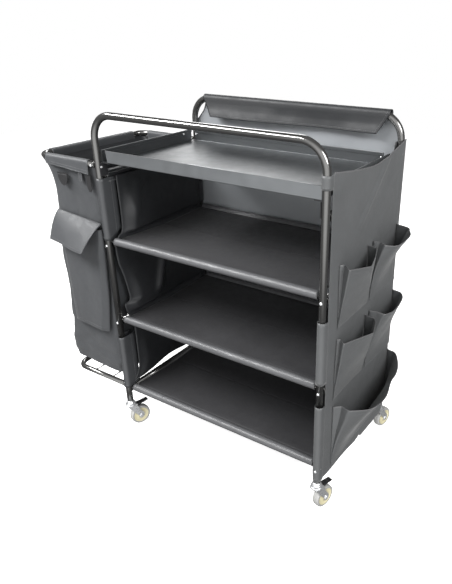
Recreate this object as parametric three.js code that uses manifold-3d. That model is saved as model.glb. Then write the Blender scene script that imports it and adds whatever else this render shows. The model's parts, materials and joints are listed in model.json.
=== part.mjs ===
// Housekeeping cart: two inverted-U tube frames joined by side rails, three fabric
// shelves, a sheet-metal tray, fabric side and back panels with pockets, a laundry bag
// hung on a tubular rim, a rack below the bag, and four swivel casters.
//
// Millimetres, +Z up, +X along the cart towards the pockets, -Y towards the open front.
// While it is built, x = 0 and y = 0 lie midway between the four legs and z = 0 is the
// floor. At the end the cart is moved so that the origin is below the middle of its box.
import * as THREE from 'three';
import * as BufferGeometryUtils from 'three/addons/utils/BufferGeometryUtils.js';
import Module from 'manifold-3d';

const wasm = await Module();
wasm.setup();

// ---------------------------------------------------------------------------
// Driving dimensions
// ---------------------------------------------------------------------------
const cartLength = 800;          // leg centre to leg centre, along X
const cartDepth = 476;           // leg centre to leg centre, along Y
const handleHeight = 1155;       // centre of both top bars above the floor
const tubeRadius = 11;           // 22 mm frame tube
const tubeWall = 1.2;
const handleBend = 76;           // centre-line radius of the handle bends
const legJoint = 290;            // where the lower legs plug into the upper frames
const spigotLength = 40;
const spigotRadius = 9;
const spigotWall = 1;
const fitGap = 0.3;              // between pieces that touch
const cutBeyond = 5;             // a cutting tool reaches that far past an open face
const tubeSides = 12;
const bendSteps = 5;             // tube stations in a quarter bend

const shelfHeights = { top: 749, middle: 460, bottom: 175 };   // centres of the front rails
const sideRailDrop = 12.5;       // side rail centre below the front rail centre
const shelfRailInset = 10;       // shelf rail centre inside the leg plane, along Y
const shelfRailEnd = 13;         // tube end of a shelf rail to the side rail
const upperRailHeight = 969;     // the side rails under the tray
const tongueWidth = 7;
const tongueThickness = 3;
const plugThickness = 6;         // bar across a shelf rail's end
const plugDepth = 6;
const plugRecess = 0.5;
const plugReach = tubeRadius - tubeWall / 2;
const deckThickness = 3;
const deckSag = 8;               // fall from the rails to the middle crease
const deckRise = 3;              // deck edge above the rail centre
const deckEndGap = 4;            // deck end to the side rails

const trayHeight = 1010;         // underside of the tray
const trayRim = 38;              // height of its upturned edge
const traySheet = 1.5;
const trayDepth = 426;
const trayFront = 5;             // front edge behind the leg centres
const trayNotch = 18;            // open corner beside each leg
const trayEndGap = 3.5;          // tray side to the legs
const bracketWidth = 24;
const bracketThickness = 2.4;
const bracketTab = 20;
const bracketDrop = 42;          // bracket height below the tray

const fabric = 2;                // thickness of panels and pockets
const backPanelFoot = 140;
const leftPanelFoot = 195;
const leftPanelArch = 24;        // rise of its lower edge at the middle
const rightPanelTop = 1083;
const rightPanelSag = 34;
const flapLength = 58;           // back flap below the centre of the rear bar
const flapInset = 50;            // flap end inside the left leg centre
const flapSpan = 716;
const flapLean = 10;             // the free edge stands out that much from the bar
const backPanelGap = 15;         // its left corner is cut lower than its right one

const upperPocketTop = 825;
const middlePocketTop = 598;
const lowerPocketTop = 366;
const upperPocketHeight = 190;
const middlePocketHeight = 205;
const lowerPocketHeight = 228;
const pocketReach = 60;          // mouth of the four small pockets, out from the panel
const widePocketReach = 76;
const pocketShoulder = 0.4;      // upright stretch below the mouth, as a share of the reach
const pocketGap = 18;            // between the pockets of one row
const pocketMargin = 56;         // front leg centre to the nearest pocket
const pocketRearMargin = 12;

const rimTube = 9.5;             // 19 mm tube of the bag rim and of the rack
const rimHeight = 1002;
const rimReach = 284;            // outer bar centre beyond the leg centres
const rimBend = 42;
const rackHeight = 182;
const rackReach = 270;
const rackRods = 2;
const rodRadius = 3;
const bagFoot = 221;
const bagSheet = 3;
const bagBackGap = 16;           // bag to the leg centres
const bagOverhang = 2;           // bag front beyond the leg centres
const bagMouthInset = 8;         // the bag's outer face from the rim's outer bar: mouth,
const bagWaist = 56;             // narrowest place below the rim,
const bagBelly = 35;             // middle
const bagFootInset = 5;          // and foot
const bagPocketInset = 60;       // pocket's left side from the rim's outer bar
const bagPocketTaper = 46;       // cut off its lower right corner, along X
const bagPocketRise = 200;       // and along Z
const bagFlapMargin = 4;         // the flap is that much wider than the pocket
const bagPocketWidth = 206;
const bagPocketTop = 785;
const bagPocketFoot = 400;
const bagPocketDepth = 14;
const bagFlapSeam = 823;
const bagFlapLength = 116;
const bagFlapTilt = 34;          // degrees from hanging straight down

const wheelRadius = 37.5;        // 75 mm wheel
const wheelWidth = 24;
const tyreDepth = 8.5;
const axleRadius = 4;
const casterTrail = 31;
const collarRadius = 15;
const collarHeight = 12;
const earGap = 1.6;              // wheel side to fork ear
const earThickness = 2.5;
const rivetReach = 2.5;          // axle end beyond each ear
const crownThickness = 5;
const crownGap = 1;              // running gap below the collar
const wheelHeadroom = 19;        // tyre to the underside of the fork crown
const legFoot = 2 * wheelRadius + wheelHeadroom + crownThickness + crownGap + collarHeight;
const panelFootGap = 4;          // right panel above the caster seats
const rightPanelFoot = legFoot + panelFootGap;
const pedalPivot = 24;           // behind the swivel axis
const pedalDrop = 8;             // below the fork crown
const pedalSideGap = 3;          // pedal side to the fork ears
const brakeStroke = 14;          // degrees
const wheelSides = 24;
const hubChamfer = 1.5;
const tyreChamfer = 3;
const casterHeadings = { fl: 70, fr: 77, rr: 77, rl: 84 };   // degrees from +X

// ---------------------------------------------------------------------------
// Materials
// ---------------------------------------------------------------------------
const finish = (color, roughness, metalness) =>
  new THREE.MeshStandardMaterial({ color, roughness, metalness });
const gunmetal = finish(0x34383a, 0.28, 0.85);
const trayPaint = finish(0x3a3d40, 0.38, 0.4);
const blackSteel = finish(0x1c1d1f, 0.4, 0.6);
const oxford = finish(0x25272a, 0.62, 0);
const deckCloth = finish(0x1b1c1f, 0.7, 0);
const bagCloth = finish(0x2b2f33, 0.75, 0);
const zinc = finish(0xd7dadb, 0.3, 0.8);
const greyTyre = finish(0xc9c9c4, 0.55, 0);
const creamHub = finish(0xe6dfb4, 0.5, 0);
const blackPlastic = finish(0x111214, 0.5, 0);

// ---------------------------------------------------------------------------
// Frame of reference and small helpers
// ---------------------------------------------------------------------------
const cart = new THREE.Group();
const legX = cartLength / 2;
const legY = cartDepth / 2;
const axisX = new THREE.Vector3(1, 0, 0);
const axisY = new THREE.Vector3(0, 1, 0);
const axisZ = new THREE.Vector3(0, 0, 1);
const vec = (x, y, z) => new THREE.Vector3(x, y, z);

function add(name, geometry, material, parent = cart) {
  const mesh = new THREE.Mesh(geometry, material);
  mesh.name = name;
  parent.add(mesh);
  return mesh;
}

function toSolid(geometry) {
  const bare = geometry.clone();
  for (const name of ['normal', 'uv', 'uv1']) bare.deleteAttribute(name);
  const merged = BufferGeometryUtils.mergeVertices(bare, 1e-4);
  return new wasm.Manifold(new wasm.Mesh({
    numProp: 3,
    vertProperties: new Float32Array(merged.attributes.position.array),
    triVerts: new Uint32Array(merged.index.array),
  }));
}

function toGeometry(solid) {
  const mesh = solid.getMesh();
  const geometry = new THREE.BufferGeometry();
  geometry.setAttribute('position', new THREE.BufferAttribute(mesh.vertProperties, 3));
  geometry.setIndex(new THREE.BufferAttribute(mesh.triVerts, 1));
  return geometry;
}

function union(...parts) {
  return toGeometry(parts.map(toSolid).reduce((whole, next) => whole.add(next)));
}

function cut(body, tool) {
  return toGeometry(toSolid(body).subtract(toSolid(tool)));
}

// A box between two opposite corners, given in any order.
function box(a, b) {
  const size = b.clone().sub(a);
  const middle = a.clone().add(b).multiplyScalar(0.5);
  const geometry = new THREE.BoxGeometry(Math.abs(size.x), Math.abs(size.y), Math.abs(size.z));
  return geometry.translate(middle.x, middle.y, middle.z);
}

function polygon(radius, sides) {
  const points = [];
  for (let i = 0; i < sides; i += 1) {
    const angle = (i / sides) * 2 * Math.PI;
    points.push(new THREE.Vector2(radius * Math.cos(angle), radius * Math.sin(angle)));
  }
  return points;
}

function tubeSection(radius, wall) {
  const section = new THREE.Shape(polygon(radius, tubeSides));
  section.holes.push(new THREE.Path(polygon(radius - wall, tubeSides)));
  return section;
}

// A tube route of straight runs and round bends. Its stations lie only at the run ends
// and round the bends, so a long straight run costs no extra faces.
class TubeRoute extends THREE.Curve {
  constructor(corners, bendRadius) {
    super();
    this.stations = [];
    const last = corners.length - 1;
    this.mark(corners[0], corners[1].clone().sub(corners[0]));
    for (let i = 1; i < last; i += 1) {
      this.bend(corners[i - 1], corners[i], corners[i + 1], bendRadius);
    }
    this.mark(corners[last], corners[last].clone().sub(corners[last - 1]));
  }

  mark(point, direction) {
    this.stations.push({ point: point.clone(), tangent: direction.clone().normalize() });
  }

  bend(before, corner, after, radius) {
    const arriving = corner.clone().sub(before).normalize();
    const leaving = after.clone().sub(corner).normalize();
    const turn = arriving.angleTo(leaving);
    const start = corner.clone().addScaledVector(arriving, -radius * Math.tan(turn / 2));
    const inward = leaving.clone().addScaledVector(arriving, -leaving.dot(arriving)).normalize();
    for (let i = 0; i <= bendSteps; i += 1) {
      const angle = (turn * i) / bendSteps;
      const point = start.clone().addScaledVector(arriving, radius * Math.sin(angle));
      point.addScaledVector(inward, radius * (1 - Math.cos(angle)));
      const tangent = arriving.clone().multiplyScalar(Math.cos(angle));
      this.mark(point, tangent.addScaledVector(inward, Math.sin(angle)));
    }
  }

  get steps() { return this.stations.length - 1; }

  station(t) { return this.stations[Math.round(t * this.steps)]; }

  getPoint(t, target = vec(0, 0, 0)) { return target.copy(this.station(t).point); }

  getPointAt(t, target) { return this.getPoint(t, target); }

  getTangent(t, target = vec(0, 0, 0)) { return target.copy(this.station(t).tangent); }

  getTangentAt(t, target) { return this.getTangent(t, target); }

  getSpacedPoints(count) { return this.getPoints(count); }
}

function bentTube(corners, bendRadius, radius) {
  const route = new TubeRoute(corners, bendRadius);
  const along = { steps: route.steps, extrudePath: route };
  return new THREE.ExtrudeGeometry(tubeSection(radius, tubeWall), along);
}

function straightTube(from, to, radius) {
  const run = to.clone().sub(from);
  const straight = { depth: run.length(), bevelEnabled: false };
  const geometry = new THREE.ExtrudeGeometry(tubeSection(radius, tubeWall), straight);
  const turn = new THREE.Quaternion().setFromUnitVectors(axisZ, run.normalize());
  return geometry.applyQuaternion(turn).translate(from.x, from.y, from.z);
}

// Plates drawn in a vertical plane and given a thickness along the third axis. The
// outline is a Shape or a list of [across, height].
function plate(outline, thickness) {
  let shape = outline;
  if (Array.isArray(outline)) {
    shape = new THREE.Shape(outline.map(([across, height]) => new THREE.Vector2(across, height)));
  }
  return new THREE.ExtrudeGeometry(shape, { depth: thickness, bevelEnabled: false, curveSegments: 8 });
}

function plateAlongY(outline, y0, y1) {
  const geometry = plate(outline, y1 - y0);
  const basis = new THREE.Matrix4().makeBasis(axisX, axisZ, axisY.clone().negate());
  return geometry.applyMatrix4(basis).translate(0, y1, 0);
}

function plateAlongX(outline, x0, x1) {
  const basis = new THREE.Matrix4().makeBasis(axisY, axisZ, axisX);
  return plate(outline, x1 - x0).applyMatrix4(basis).translate(x0, 0, 0);
}

// A lathed piece about the Z axis: the profile is [radius, height] and closes on itself.
function turned(profile, sides) {
  const points = profile.map(([r, h]) => new THREE.Vector2(r, h));
  points.push(points[0].clone());
  return new THREE.LatheGeometry(points, sides).rotateX(Math.PI / 2);
}

// ---------------------------------------------------------------------------
// Frames: inverted U at the front and at the rear, each on two lower legs
// ---------------------------------------------------------------------------
function frameAt(name, y) {
  const foot = legJoint + fitGap;
  const corners = [
    vec(-legX, y, foot), vec(-legX, y, handleHeight),
    vec(legX, y, handleHeight), vec(legX, y, foot),
  ];
  add(`${name}_upper_frame`, bentTube(corners, handleBend, tubeRadius), gunmetal);
  for (const [side, x] of [['left', -legX], ['right', legX]]) {
    const leg = add(`${name}_leg_${side}`, turned([
      [tubeRadius - tubeWall, legFoot],
      [tubeRadius, legFoot],
      [tubeRadius, legJoint],
      [spigotRadius, legJoint],
      [spigotRadius, legJoint + spigotLength],
      [spigotRadius - spigotWall, legJoint + spigotLength],
      [spigotRadius - spigotWall, legJoint - spigotLength],
      [tubeRadius - tubeWall, legJoint - spigotLength],
    ], tubeSides), gunmetal);
    leg.position.set(x, y, 0);
  }
}
frameAt('front', -legY);
frameAt('rear', legY);

// ---------------------------------------------------------------------------
// Side rails and shelves
// ---------------------------------------------------------------------------
const sideRailEnd = legY - tubeRadius - fitGap;
const shelfRailY = legY - shelfRailInset;
const railInner = legX - tubeRadius;         // inner face of legs and side rails

function sideRail(name, x, height) {
  const front = vec(x, -sideRailEnd, height);
  const rear = vec(x, sideRailEnd, height);
  add(name, straightTube(front, rear, tubeRadius), gunmetal);
}

// A shelf rail has a bar across each end, whose tongue rests on the side rail.
function shelfRail(name, y, height) {
  const end = railInner - shelfRailEnd;
  const pieces = [straightTube(vec(-end, y, height), vec(end, y, height), tubeRadius)];
  const seat = height - sideRailDrop + tubeRadius + fitGap;
  const yOuter = Math.sign(y) * (sideRailEnd - fitGap);
  const yInner = yOuter - Math.sign(y) * tongueWidth;
  for (const side of [-1, 1]) {
    const inmost = side * (end - plugDepth);
    pieces.push(box(
      vec(inmost, y - plugReach, height - plugThickness / 2),
      vec(side * (end - plugRecess), y + plugReach, height + plugThickness / 2),
    ));
    pieces.push(box(vec(inmost, yOuter, seat), vec(side * legX, yInner, seat + tongueThickness)));
  }
  add(name, union(...pieces), gunmetal);
}

// The deck hangs from both rails as a shallow V with its crease at the middle.
function shelfDeck(name, height) {
  const edge = shelfRailY - tubeRadius - 2 * fitGap;
  const high = height + deckRise;
  const low = high - deckSag;
  const end = railInner - deckEndGap;
  add(name, plateAlongX([
    [-edge, high], [-edge, high - deckThickness], [0, low - deckThickness],
    [edge, high - deckThickness], [edge, high], [0, low],
  ], -end, end), deckCloth);
}

for (const [level, height] of Object.entries(shelfHeights)) {
  sideRail(`shelf_${level}_left_rail`, -legX, height - sideRailDrop);
  sideRail(`shelf_${level}_right_rail`, legX, height - sideRailDrop);
  shelfRail(`shelf_${level}_front_rail`, -shelfRailY, height);
  shelfRail(`shelf_${level}_rear_rail`, shelfRailY, height);
  shelfDeck(`shelf_${level}_deck`, height);
}
sideRail('upper_side_rail_left', -legX, upperRailHeight);
sideRail('upper_side_rail_right', legX, upperRailHeight);

// ---------------------------------------------------------------------------
// Tray: folded sheet with an upturned edge and open corners at the legs
// ---------------------------------------------------------------------------
const trayHalf = railInner - trayEndGap;
const trayY0 = -legY + trayFront;
const trayY1 = trayY0 + trayDepth;

function tray() {
  const top = trayHeight + trayRim;
  const floor = box(vec(-trayHalf, trayY0, trayHeight), vec(trayHalf, trayY1, trayHeight + traySheet));
  const lipHalf = trayHalf - trayNotch;
  const lips = [trayY0, trayY1 - traySheet].map((y) => (
    box(vec(-lipHalf, y, trayHeight), vec(lipHalf, y + traySheet, top))));
  const sides = [-trayHalf, trayHalf - traySheet].map((x) => (
    box(vec(x, trayY0, trayHeight), vec(x + traySheet, trayY1, top))));
  add('tray', union(floor, ...lips, ...sides), trayPaint);
}
tray();

// Each bracket is an angle: its upright stands against the legs' inner side and its tab
// lies under the tray floor. The rear uprights reach back from the tray to the legs.
function trayBracket(name, side, front) {
  const y0 = front ? -legY - tubeRadius / 2 : trayY1 - bracketWidth;
  const y1 = front ? -legY + bracketWidth : legY + tubeRadius / 2;
  const outer = side * (railInner - fitGap);
  const inner = outer - side * bracketThickness;
  const roof = trayHeight - fitGap;
  const tabY = front ? trayY0 + traySheet : y0;
  const upright = box(vec(outer, y0, roof - bracketDrop), vec(inner, y1, roof));
  const tab = box(
    vec(outer, tabY, roof - bracketThickness),
    vec(inner - side * bracketWidth, tabY + bracketTab, roof),
  );
  add(name, union(upright, tab), blackSteel);
}
for (const [side, sign] of [['left', -1], ['right', 1]]) {
  trayBracket(`tray_bracket_front_${side}`, sign, true);
  trayBracket(`tray_bracket_rear_${side}`, sign, false);
}

// ---------------------------------------------------------------------------
// Fabric panels
// ---------------------------------------------------------------------------
const outside = legX + tubeRadius + fitGap;         // inner face of the right panel
const behind = legY + tubeRadius + fitGap;          // inner face of the back panel

// The back panel rises behind the rear legs to the top bar; its upper corners are cut
// away inside the bends, and the flap folds forward over the bar.
const flapLeft = -legX + flapInset;
const flapRight = flapLeft + flapSpan;
const panelTop = handleHeight - fabric;
const backPanel = new THREE.Shape();
backPanel.moveTo(-legX, backPanelFoot);
backPanel.lineTo(legX, backPanelFoot);
backPanel.lineTo(legX, handleHeight - handleBend);
backPanel.lineTo(flapRight, panelTop);
backPanel.lineTo(flapLeft, panelTop);
backPanel.lineTo(-legX, handleHeight - handleBend - backPanelGap);
add('back_panel', plateAlongY(backPanel, behind, behind + fabric), oxford);

// A strip wrapped over the rear bar: down the front to its free edge, short at the back.
function flapSection() {
  const inner = tubeRadius + 2 * fitGap;
  const outer = inner + fabric;
  const lower = handleHeight - flapLength;
  const back = panelTop + fitGap;
  const section = new THREE.Shape();
  section.moveTo(legY + outer, back);
  section.lineTo(legY + outer, handleHeight);
  section.absarc(legY, handleHeight, outer, 0, Math.PI, false);
  section.lineTo(legY - outer - flapLean, lower);
  section.lineTo(legY - outer - flapLean + fabric, lower);
  section.lineTo(legY - inner, handleHeight);
  section.absarc(legY, handleHeight, inner, Math.PI, 0, true);
  section.lineTo(legY + inner, back);
  return section;
}
add('back_panel_flap', plateAlongX(flapSection(), flapLeft, flapRight), oxford);

// The left panel hangs inside the side rails, between the tongues of the shelf rails.
const leftInner = railInner - fitGap - fabric;
const leftEdge = sideRailEnd - tongueWidth - 2 * fitGap;
const leftPanel = new THREE.Shape();
leftPanel.moveTo(-leftEdge, leftPanelFoot);
leftPanel.quadraticCurveTo(0, leftPanelFoot + 2 * leftPanelArch, leftEdge, leftPanelFoot);
leftPanel.lineTo(leftEdge, upperRailHeight - tubeRadius);
leftPanel.lineTo(-leftEdge, upperRailHeight - tubeRadius);
add('left_panel', plateAlongX(leftPanel, -leftInner - fabric, -leftInner), oxford);

// The right panel is the largest: it passes outside both legs and sags along its top.
const rightPanel = new THREE.Shape();
rightPanel.moveTo(-sideRailEnd, rightPanelFoot);
rightPanel.lineTo(legY, rightPanelFoot);
rightPanel.lineTo(legY, rightPanelTop);
rightPanel.quadraticCurveTo(0, rightPanelTop - 2 * rightPanelSag, -sideRailEnd, rightPanelTop);
add('right_panel', plateAlongX(rightPanel, outside, outside + fabric), oxford);

// ---------------------------------------------------------------------------
// Pockets on the right panel: open-topped wedges, flat at the foot
// ---------------------------------------------------------------------------
const pocketBack = outside + fabric + fitGap;

function pocket(name, y0, y1, top, height, reach) {
  const foot = top - height;
  const shoulder = top - reach * pocketShoulder;
  const outerProfile = [
    [pocketBack, foot], [pocketBack + fabric * 3, foot], [pocketBack + reach, shoulder],
    [pocketBack + reach, top], [pocketBack, top],
  ];
  const innerProfile = [
    [pocketBack + fabric, foot + fabric * 4], [pocketBack + reach - fabric, shoulder],
    [pocketBack + reach - fabric, top + cutBeyond], [pocketBack + fabric, top + cutBeyond],
  ];
  const shell = plateAlongY(outerProfile, y0, y1);
  const hollow = plateAlongY(innerProfile, y0 + fabric, y1 - fabric);
  add(name, cut(shell, hollow), oxford);
}

const rowStart = -legY + pocketMargin;
const rowEnd = legY - pocketRearMargin;
const rowMiddle = (rowStart + rowEnd) / 2;
for (const [row, top, height] of [
  ['upper', upperPocketTop, upperPocketHeight],
  ['middle', middlePocketTop, middlePocketHeight],
]) {
  pocket(`pocket_${row}_front`, rowStart, rowMiddle - pocketGap / 2, top, height, pocketReach);
  pocket(`pocket_${row}_rear`, rowMiddle + pocketGap / 2, rowEnd, top, height, pocketReach);
}
pocket('pocket_lower_wide', rowStart, rowEnd, lowerPocketTop, lowerPocketHeight, widePocketReach);

// ---------------------------------------------------------------------------
// Bag rim, laundry bag and rack at the left end
// ---------------------------------------------------------------------------
const armStart = -legX - tubeRadius - fitGap;       // arms butt against the legs
const rimOuter = -legX - rimReach;
const rackOuter = -legX - rackReach;

function endFrame(outer, height) {
  const corners = [
    vec(armStart, -legY, height), vec(outer, -legY, height),
    vec(outer, legY, height), vec(armStart, legY, height),
  ];
  return bentTube(corners, rimBend, rimTube);
}
add('bag_rim', endFrame(rimOuter, rimHeight), gunmetal);

function rack() {
  const pieces = [endFrame(rackOuter, rackHeight)];
  const pitch = rackReach / (rackRods + 1);
  for (let i = 1; i <= rackRods; i += 1) {
    const rod = new THREE.CylinderGeometry(rodRadius, rodRadius, cartDepth - rimTube, 8);
    pieces.push(rod.translate(rackOuter + i * pitch, 0, rackHeight));
  }
  add('bag_rack', union(...pieces), gunmetal);
}
rack();

// The bag hangs just below the rim: wide at its mouth, waisted, and full at the foot.
const bagInner = -legX - bagBackGap;
const bagTop = rimHeight - rimTube - 2 * fitGap;
const bagHalf = legY + bagOverhang;
const bagSide = [
  [rimOuter + bagMouthInset, bagTop],
  [rimOuter + bagWaist - 10, bagTop - 34],
  [rimOuter + bagWaist, bagTop - 140],
  [rimOuter + bagBelly, bagTop - 350],
  [rimOuter + bagBelly, bagTop - 590],
  [rimOuter + bagFootInset, bagFoot + 30],
  [rimOuter + bagFootInset + 9, bagFoot],
];

function laundryBag() {
  const outline = [...bagSide, [bagInner, bagFoot], [bagInner, bagTop]];
  const inside = bagSide.map(([x, z]) => [x + bagSheet, z]);
  inside[0][1] += cutBeyond;
  inside[inside.length - 1][1] += bagSheet;
  inside.push([bagInner - bagSheet, bagFoot + bagSheet], [bagInner - bagSheet, bagTop + cutBeyond]);
  const shell = plateAlongY(outline.reverse(), -bagHalf, bagHalf);
  const hollow = plateAlongY(inside.reverse(), -bagHalf + bagSheet, bagHalf - bagSheet);
  add('laundry_bag', cut(shell, hollow), bagCloth);
}
laundryBag();

// A patch pocket on the front of the bag, covered by a flap hinged along its top seam.
const bagFront = -bagHalf - fitGap;
const bagPocketLeft = rimOuter + bagPocketInset;

function bagPocketOutline(inset, top) {
  const left = bagPocketLeft + inset;
  const right = bagPocketLeft + bagPocketWidth - inset;
  const foot = bagPocketFoot + inset;
  return [
    [left, top], [left, foot], [right - bagPocketTaper, foot],
    [right, foot + bagPocketRise], [right, top],
  ];
}

function bagPocket() {
  const outline = bagPocketOutline(0, bagPocketTop);
  const inside = bagPocketOutline(fabric, bagPocketTop + cutBeyond);
  const shell = plateAlongY(outline, bagFront - bagPocketDepth, bagFront);
  const hollow = plateAlongY(inside, bagFront - bagPocketDepth + fabric, bagFront - fabric);
  add('bag_pocket', cut(shell, hollow), bagCloth);
}
bagPocket();

// The flap turns about the outer edge of its seam, clear of the bag.
const flapHinge = new THREE.Group();
flapHinge.position.set(bagPocketLeft - bagFlapMargin, bagFront - 2 * fitGap - fabric, bagFlapSeam);
flapHinge.rotation.x = -THREE.MathUtils.degToRad(bagFlapTilt);
cart.add(flapHinge);
const flapCloth = box(vec(0, 0, -bagFlapLength), vec(bagPocketWidth + 2 * bagFlapMargin, fabric, 0));
add('bag_pocket_flap', flapCloth, bagCloth, flapHinge);

// ---------------------------------------------------------------------------
// Casters. Each is built about its swivel axis with the wheel trailing along +X.
// ---------------------------------------------------------------------------
const crownTop = legFoot - collarHeight - crownGap;
const crownUnder = crownTop - crownThickness;
const halfWheel = wheelWidth / 2;
const crownRadius = collarRadius + 2;
const earInner = halfWheel + earGap;
const earOuter = earInner + earThickness;

function casterFork() {
  const crown = new THREE.CylinderGeometry(crownRadius, crownRadius, crownThickness, 20);
  crown.rotateX(Math.PI / 2).translate(0, 0, crownTop - crownThickness / 2);
  const pieces = [crown];
  const ear = [
    [-collarRadius, crownUnder + 2], [casterTrail - 9, wheelRadius - 6], [casterTrail, wheelRadius - 9],
    [casterTrail + 9, wheelRadius], [casterTrail - 2, crownUnder - 14], [collarRadius, crownUnder + 2],
  ];
  for (const near of [-earOuter, earInner]) pieces.push(plateAlongY(ear, near, near + earThickness));
  const axle = new THREE.CylinderGeometry(axleRadius, axleRadius, 2 * (earOuter + rivetReach), 12);
  pieces.push(axle.translate(casterTrail, 0, wheelRadius));
  return union(...pieces);
}

function casterStem() {
  return turned([
    [0, legFoot - collarHeight], [collarRadius, legFoot - collarHeight],
    [collarRadius, legFoot - fitGap], [spigotRadius, legFoot - fitGap],
    [spigotRadius, legFoot + spigotLength], [0, legFoot + spigotLength],
  ], 16);
}

function ring(inner, outer, halfWidth, chamfer, sides) {
  const profile = [
    [inner, -halfWidth], [outer - chamfer, -halfWidth], [outer, -halfWidth + chamfer],
    [outer, halfWidth - chamfer], [outer - chamfer, halfWidth], [inner, halfWidth],
  ];
  return turned(profile, sides).rotateX(-Math.PI / 2);
}

// The pedal turns on a pin between the fork ears and reaches back over the wheel.
function brakePedal() {
  const side = earInner - pedalSideGap;
  return plateAlongY([
    [-7, -7], [6, -7], [14, 1], [42, 4], [54, 13], [52, 17], [40, 9], [10, 7], [6, 5], [-7, 5],
  ], -side, side);
}

const hubShape = ring(axleRadius + fitGap, wheelRadius - tyreDepth, halfWheel, hubChamfer, wheelSides);
const tyreShape = ring(wheelRadius - tyreDepth + fitGap, wheelRadius, halfWheel, tyreChamfer, wheelSides);

// Place: x, y and how far its brake pedal is pressed, in degrees; null is no brake.
const casterPlaces = {
  fl: [-legX, -legY, 0],
  fr: [legX, -legY, brakeStroke],
  rl: [-legX, legY, null],
  rr: [legX, legY, null],
};
for (const [place, [x, y, braked]] of Object.entries(casterPlaces)) {
  const caster = new THREE.Group();
  caster.position.set(x, y, 0);
  caster.rotation.z = THREE.MathUtils.degToRad(casterHeadings[place]);
  cart.add(caster);
  add(`caster_${place}_stem`, casterStem(), zinc, caster);
  add(`caster_${place}_fork`, casterFork(), zinc, caster);
  const hub = add(`caster_${place}_hub`, hubShape, creamHub, caster);
  const tyre = add(`caster_${place}_tyre`, tyreShape, greyTyre, caster);
  for (const piece of [hub, tyre]) piece.position.set(casterTrail, 0, wheelRadius);
  if (braked !== null) {
    const pedal = add(`caster_${place}_brake_pedal`, brakePedal(), blackPlastic, caster);
    pedal.position.set(pedalPivot, 0, crownUnder - pedalDrop);
    pedal.rotation.y = THREE.MathUtils.degToRad(braked);
  }
}

// ---------------------------------------------------------------------------
// Origin: on the floor, below the middle of the whole cart
// ---------------------------------------------------------------------------
cart.updateMatrixWorld(true);
const extent = new THREE.Box3().setFromObject(cart, true);
const middle = extent.getCenter(vec(0, 0, 0));
cart.position.set(-middle.x, -middle.y, -extent.min.z);

export default cart;
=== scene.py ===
import json
import math

import bpy
import numpy as np
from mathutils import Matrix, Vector, noise


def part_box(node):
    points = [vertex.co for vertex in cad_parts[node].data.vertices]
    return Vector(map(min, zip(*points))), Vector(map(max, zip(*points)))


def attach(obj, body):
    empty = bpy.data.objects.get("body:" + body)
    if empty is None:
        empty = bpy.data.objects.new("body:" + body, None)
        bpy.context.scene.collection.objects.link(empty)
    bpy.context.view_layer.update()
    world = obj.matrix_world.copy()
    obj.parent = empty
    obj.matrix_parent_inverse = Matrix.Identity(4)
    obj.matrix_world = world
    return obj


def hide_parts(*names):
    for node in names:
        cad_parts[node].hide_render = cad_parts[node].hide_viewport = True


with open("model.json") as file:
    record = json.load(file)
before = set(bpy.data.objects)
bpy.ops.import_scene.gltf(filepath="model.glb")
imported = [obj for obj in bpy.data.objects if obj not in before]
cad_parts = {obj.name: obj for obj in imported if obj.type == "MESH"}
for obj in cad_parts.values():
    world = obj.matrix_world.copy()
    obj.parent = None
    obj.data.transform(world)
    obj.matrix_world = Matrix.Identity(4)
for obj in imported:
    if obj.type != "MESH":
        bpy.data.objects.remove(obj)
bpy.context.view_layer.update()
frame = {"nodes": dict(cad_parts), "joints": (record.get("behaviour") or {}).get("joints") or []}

# Lengths below are millimetres in the cart's own frame: x = 0 and y = 0 lie midway between the
# four legs and z = 0 is the floor. make() turns them into metres in the row frame.
MM = 0.001


# ---- Measures taken from the frame ----
def middle(node):
    low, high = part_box(node)
    return (low + high) / 2


ORIGIN = (middle("front_leg_left") + middle("rear_leg_right")) / 2
ORIGIN.z = 0


def low_mm(node):
    return (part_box(node)[0] - ORIGIN) / MM


def high_mm(node):
    return (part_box(node)[1] - ORIGIN) / MM


def span(node):
    return low_mm(node), high_mm(node)


def joint(name):
    """A joint's row in the frame, and its place."""
    row = next(j for j in frame["joints"] if j["name"] == name)
    return row, (Vector(row["pos_m"]) - ORIGIN) / MM


def mid_mm(node):
    return (low_mm(node) + high_mm(node)) / 2


LEG_X = mid_mm("front_leg_right").x
LEG_Y = mid_mm("rear_leg_left").y
LEG_FOOT = low_mm("front_leg_left").z
TUBE = high_mm("front_leg_right").x - LEG_X
HANDLE = high_mm("front_upper_frame").z - TUBE
SHELVES = {level: mid_mm(f"shelf_{level}_front_rail").z for level in ("top", "middle", "bottom")}
SIDE_RAILS = {level: mid_mm(f"shelf_{level}_left_rail").z for level in SHELVES}
SHELF_Y = mid_mm("shelf_top_rear_rail").y
UPPER_RAIL = mid_mm("upper_side_rail_left").z
TRAY_LOW, TRAY_HIGH = low_mm("tray"), high_mm("tray")
RIM = mid_mm("bag_rim").z
RIM_TUBE = high_mm("bag_rim").z - RIM
RIM_X = low_mm("bag_rim").x + RIM_TUBE
RACK = mid_mm("bag_rack").z
RACK_X = low_mm("bag_rack").x + RIM_TUBE
BAG_FOOT = low_mm("laundry_bag").z
PANEL_X = (low_mm("right_panel").x + high_mm("right_panel").x) / 2
BACK_Y = (low_mm("back_panel").y + high_mm("back_panel").y) / 2
LEFT_X = (low_mm("left_panel").x + high_mm("left_panel").x) / 2


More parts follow.
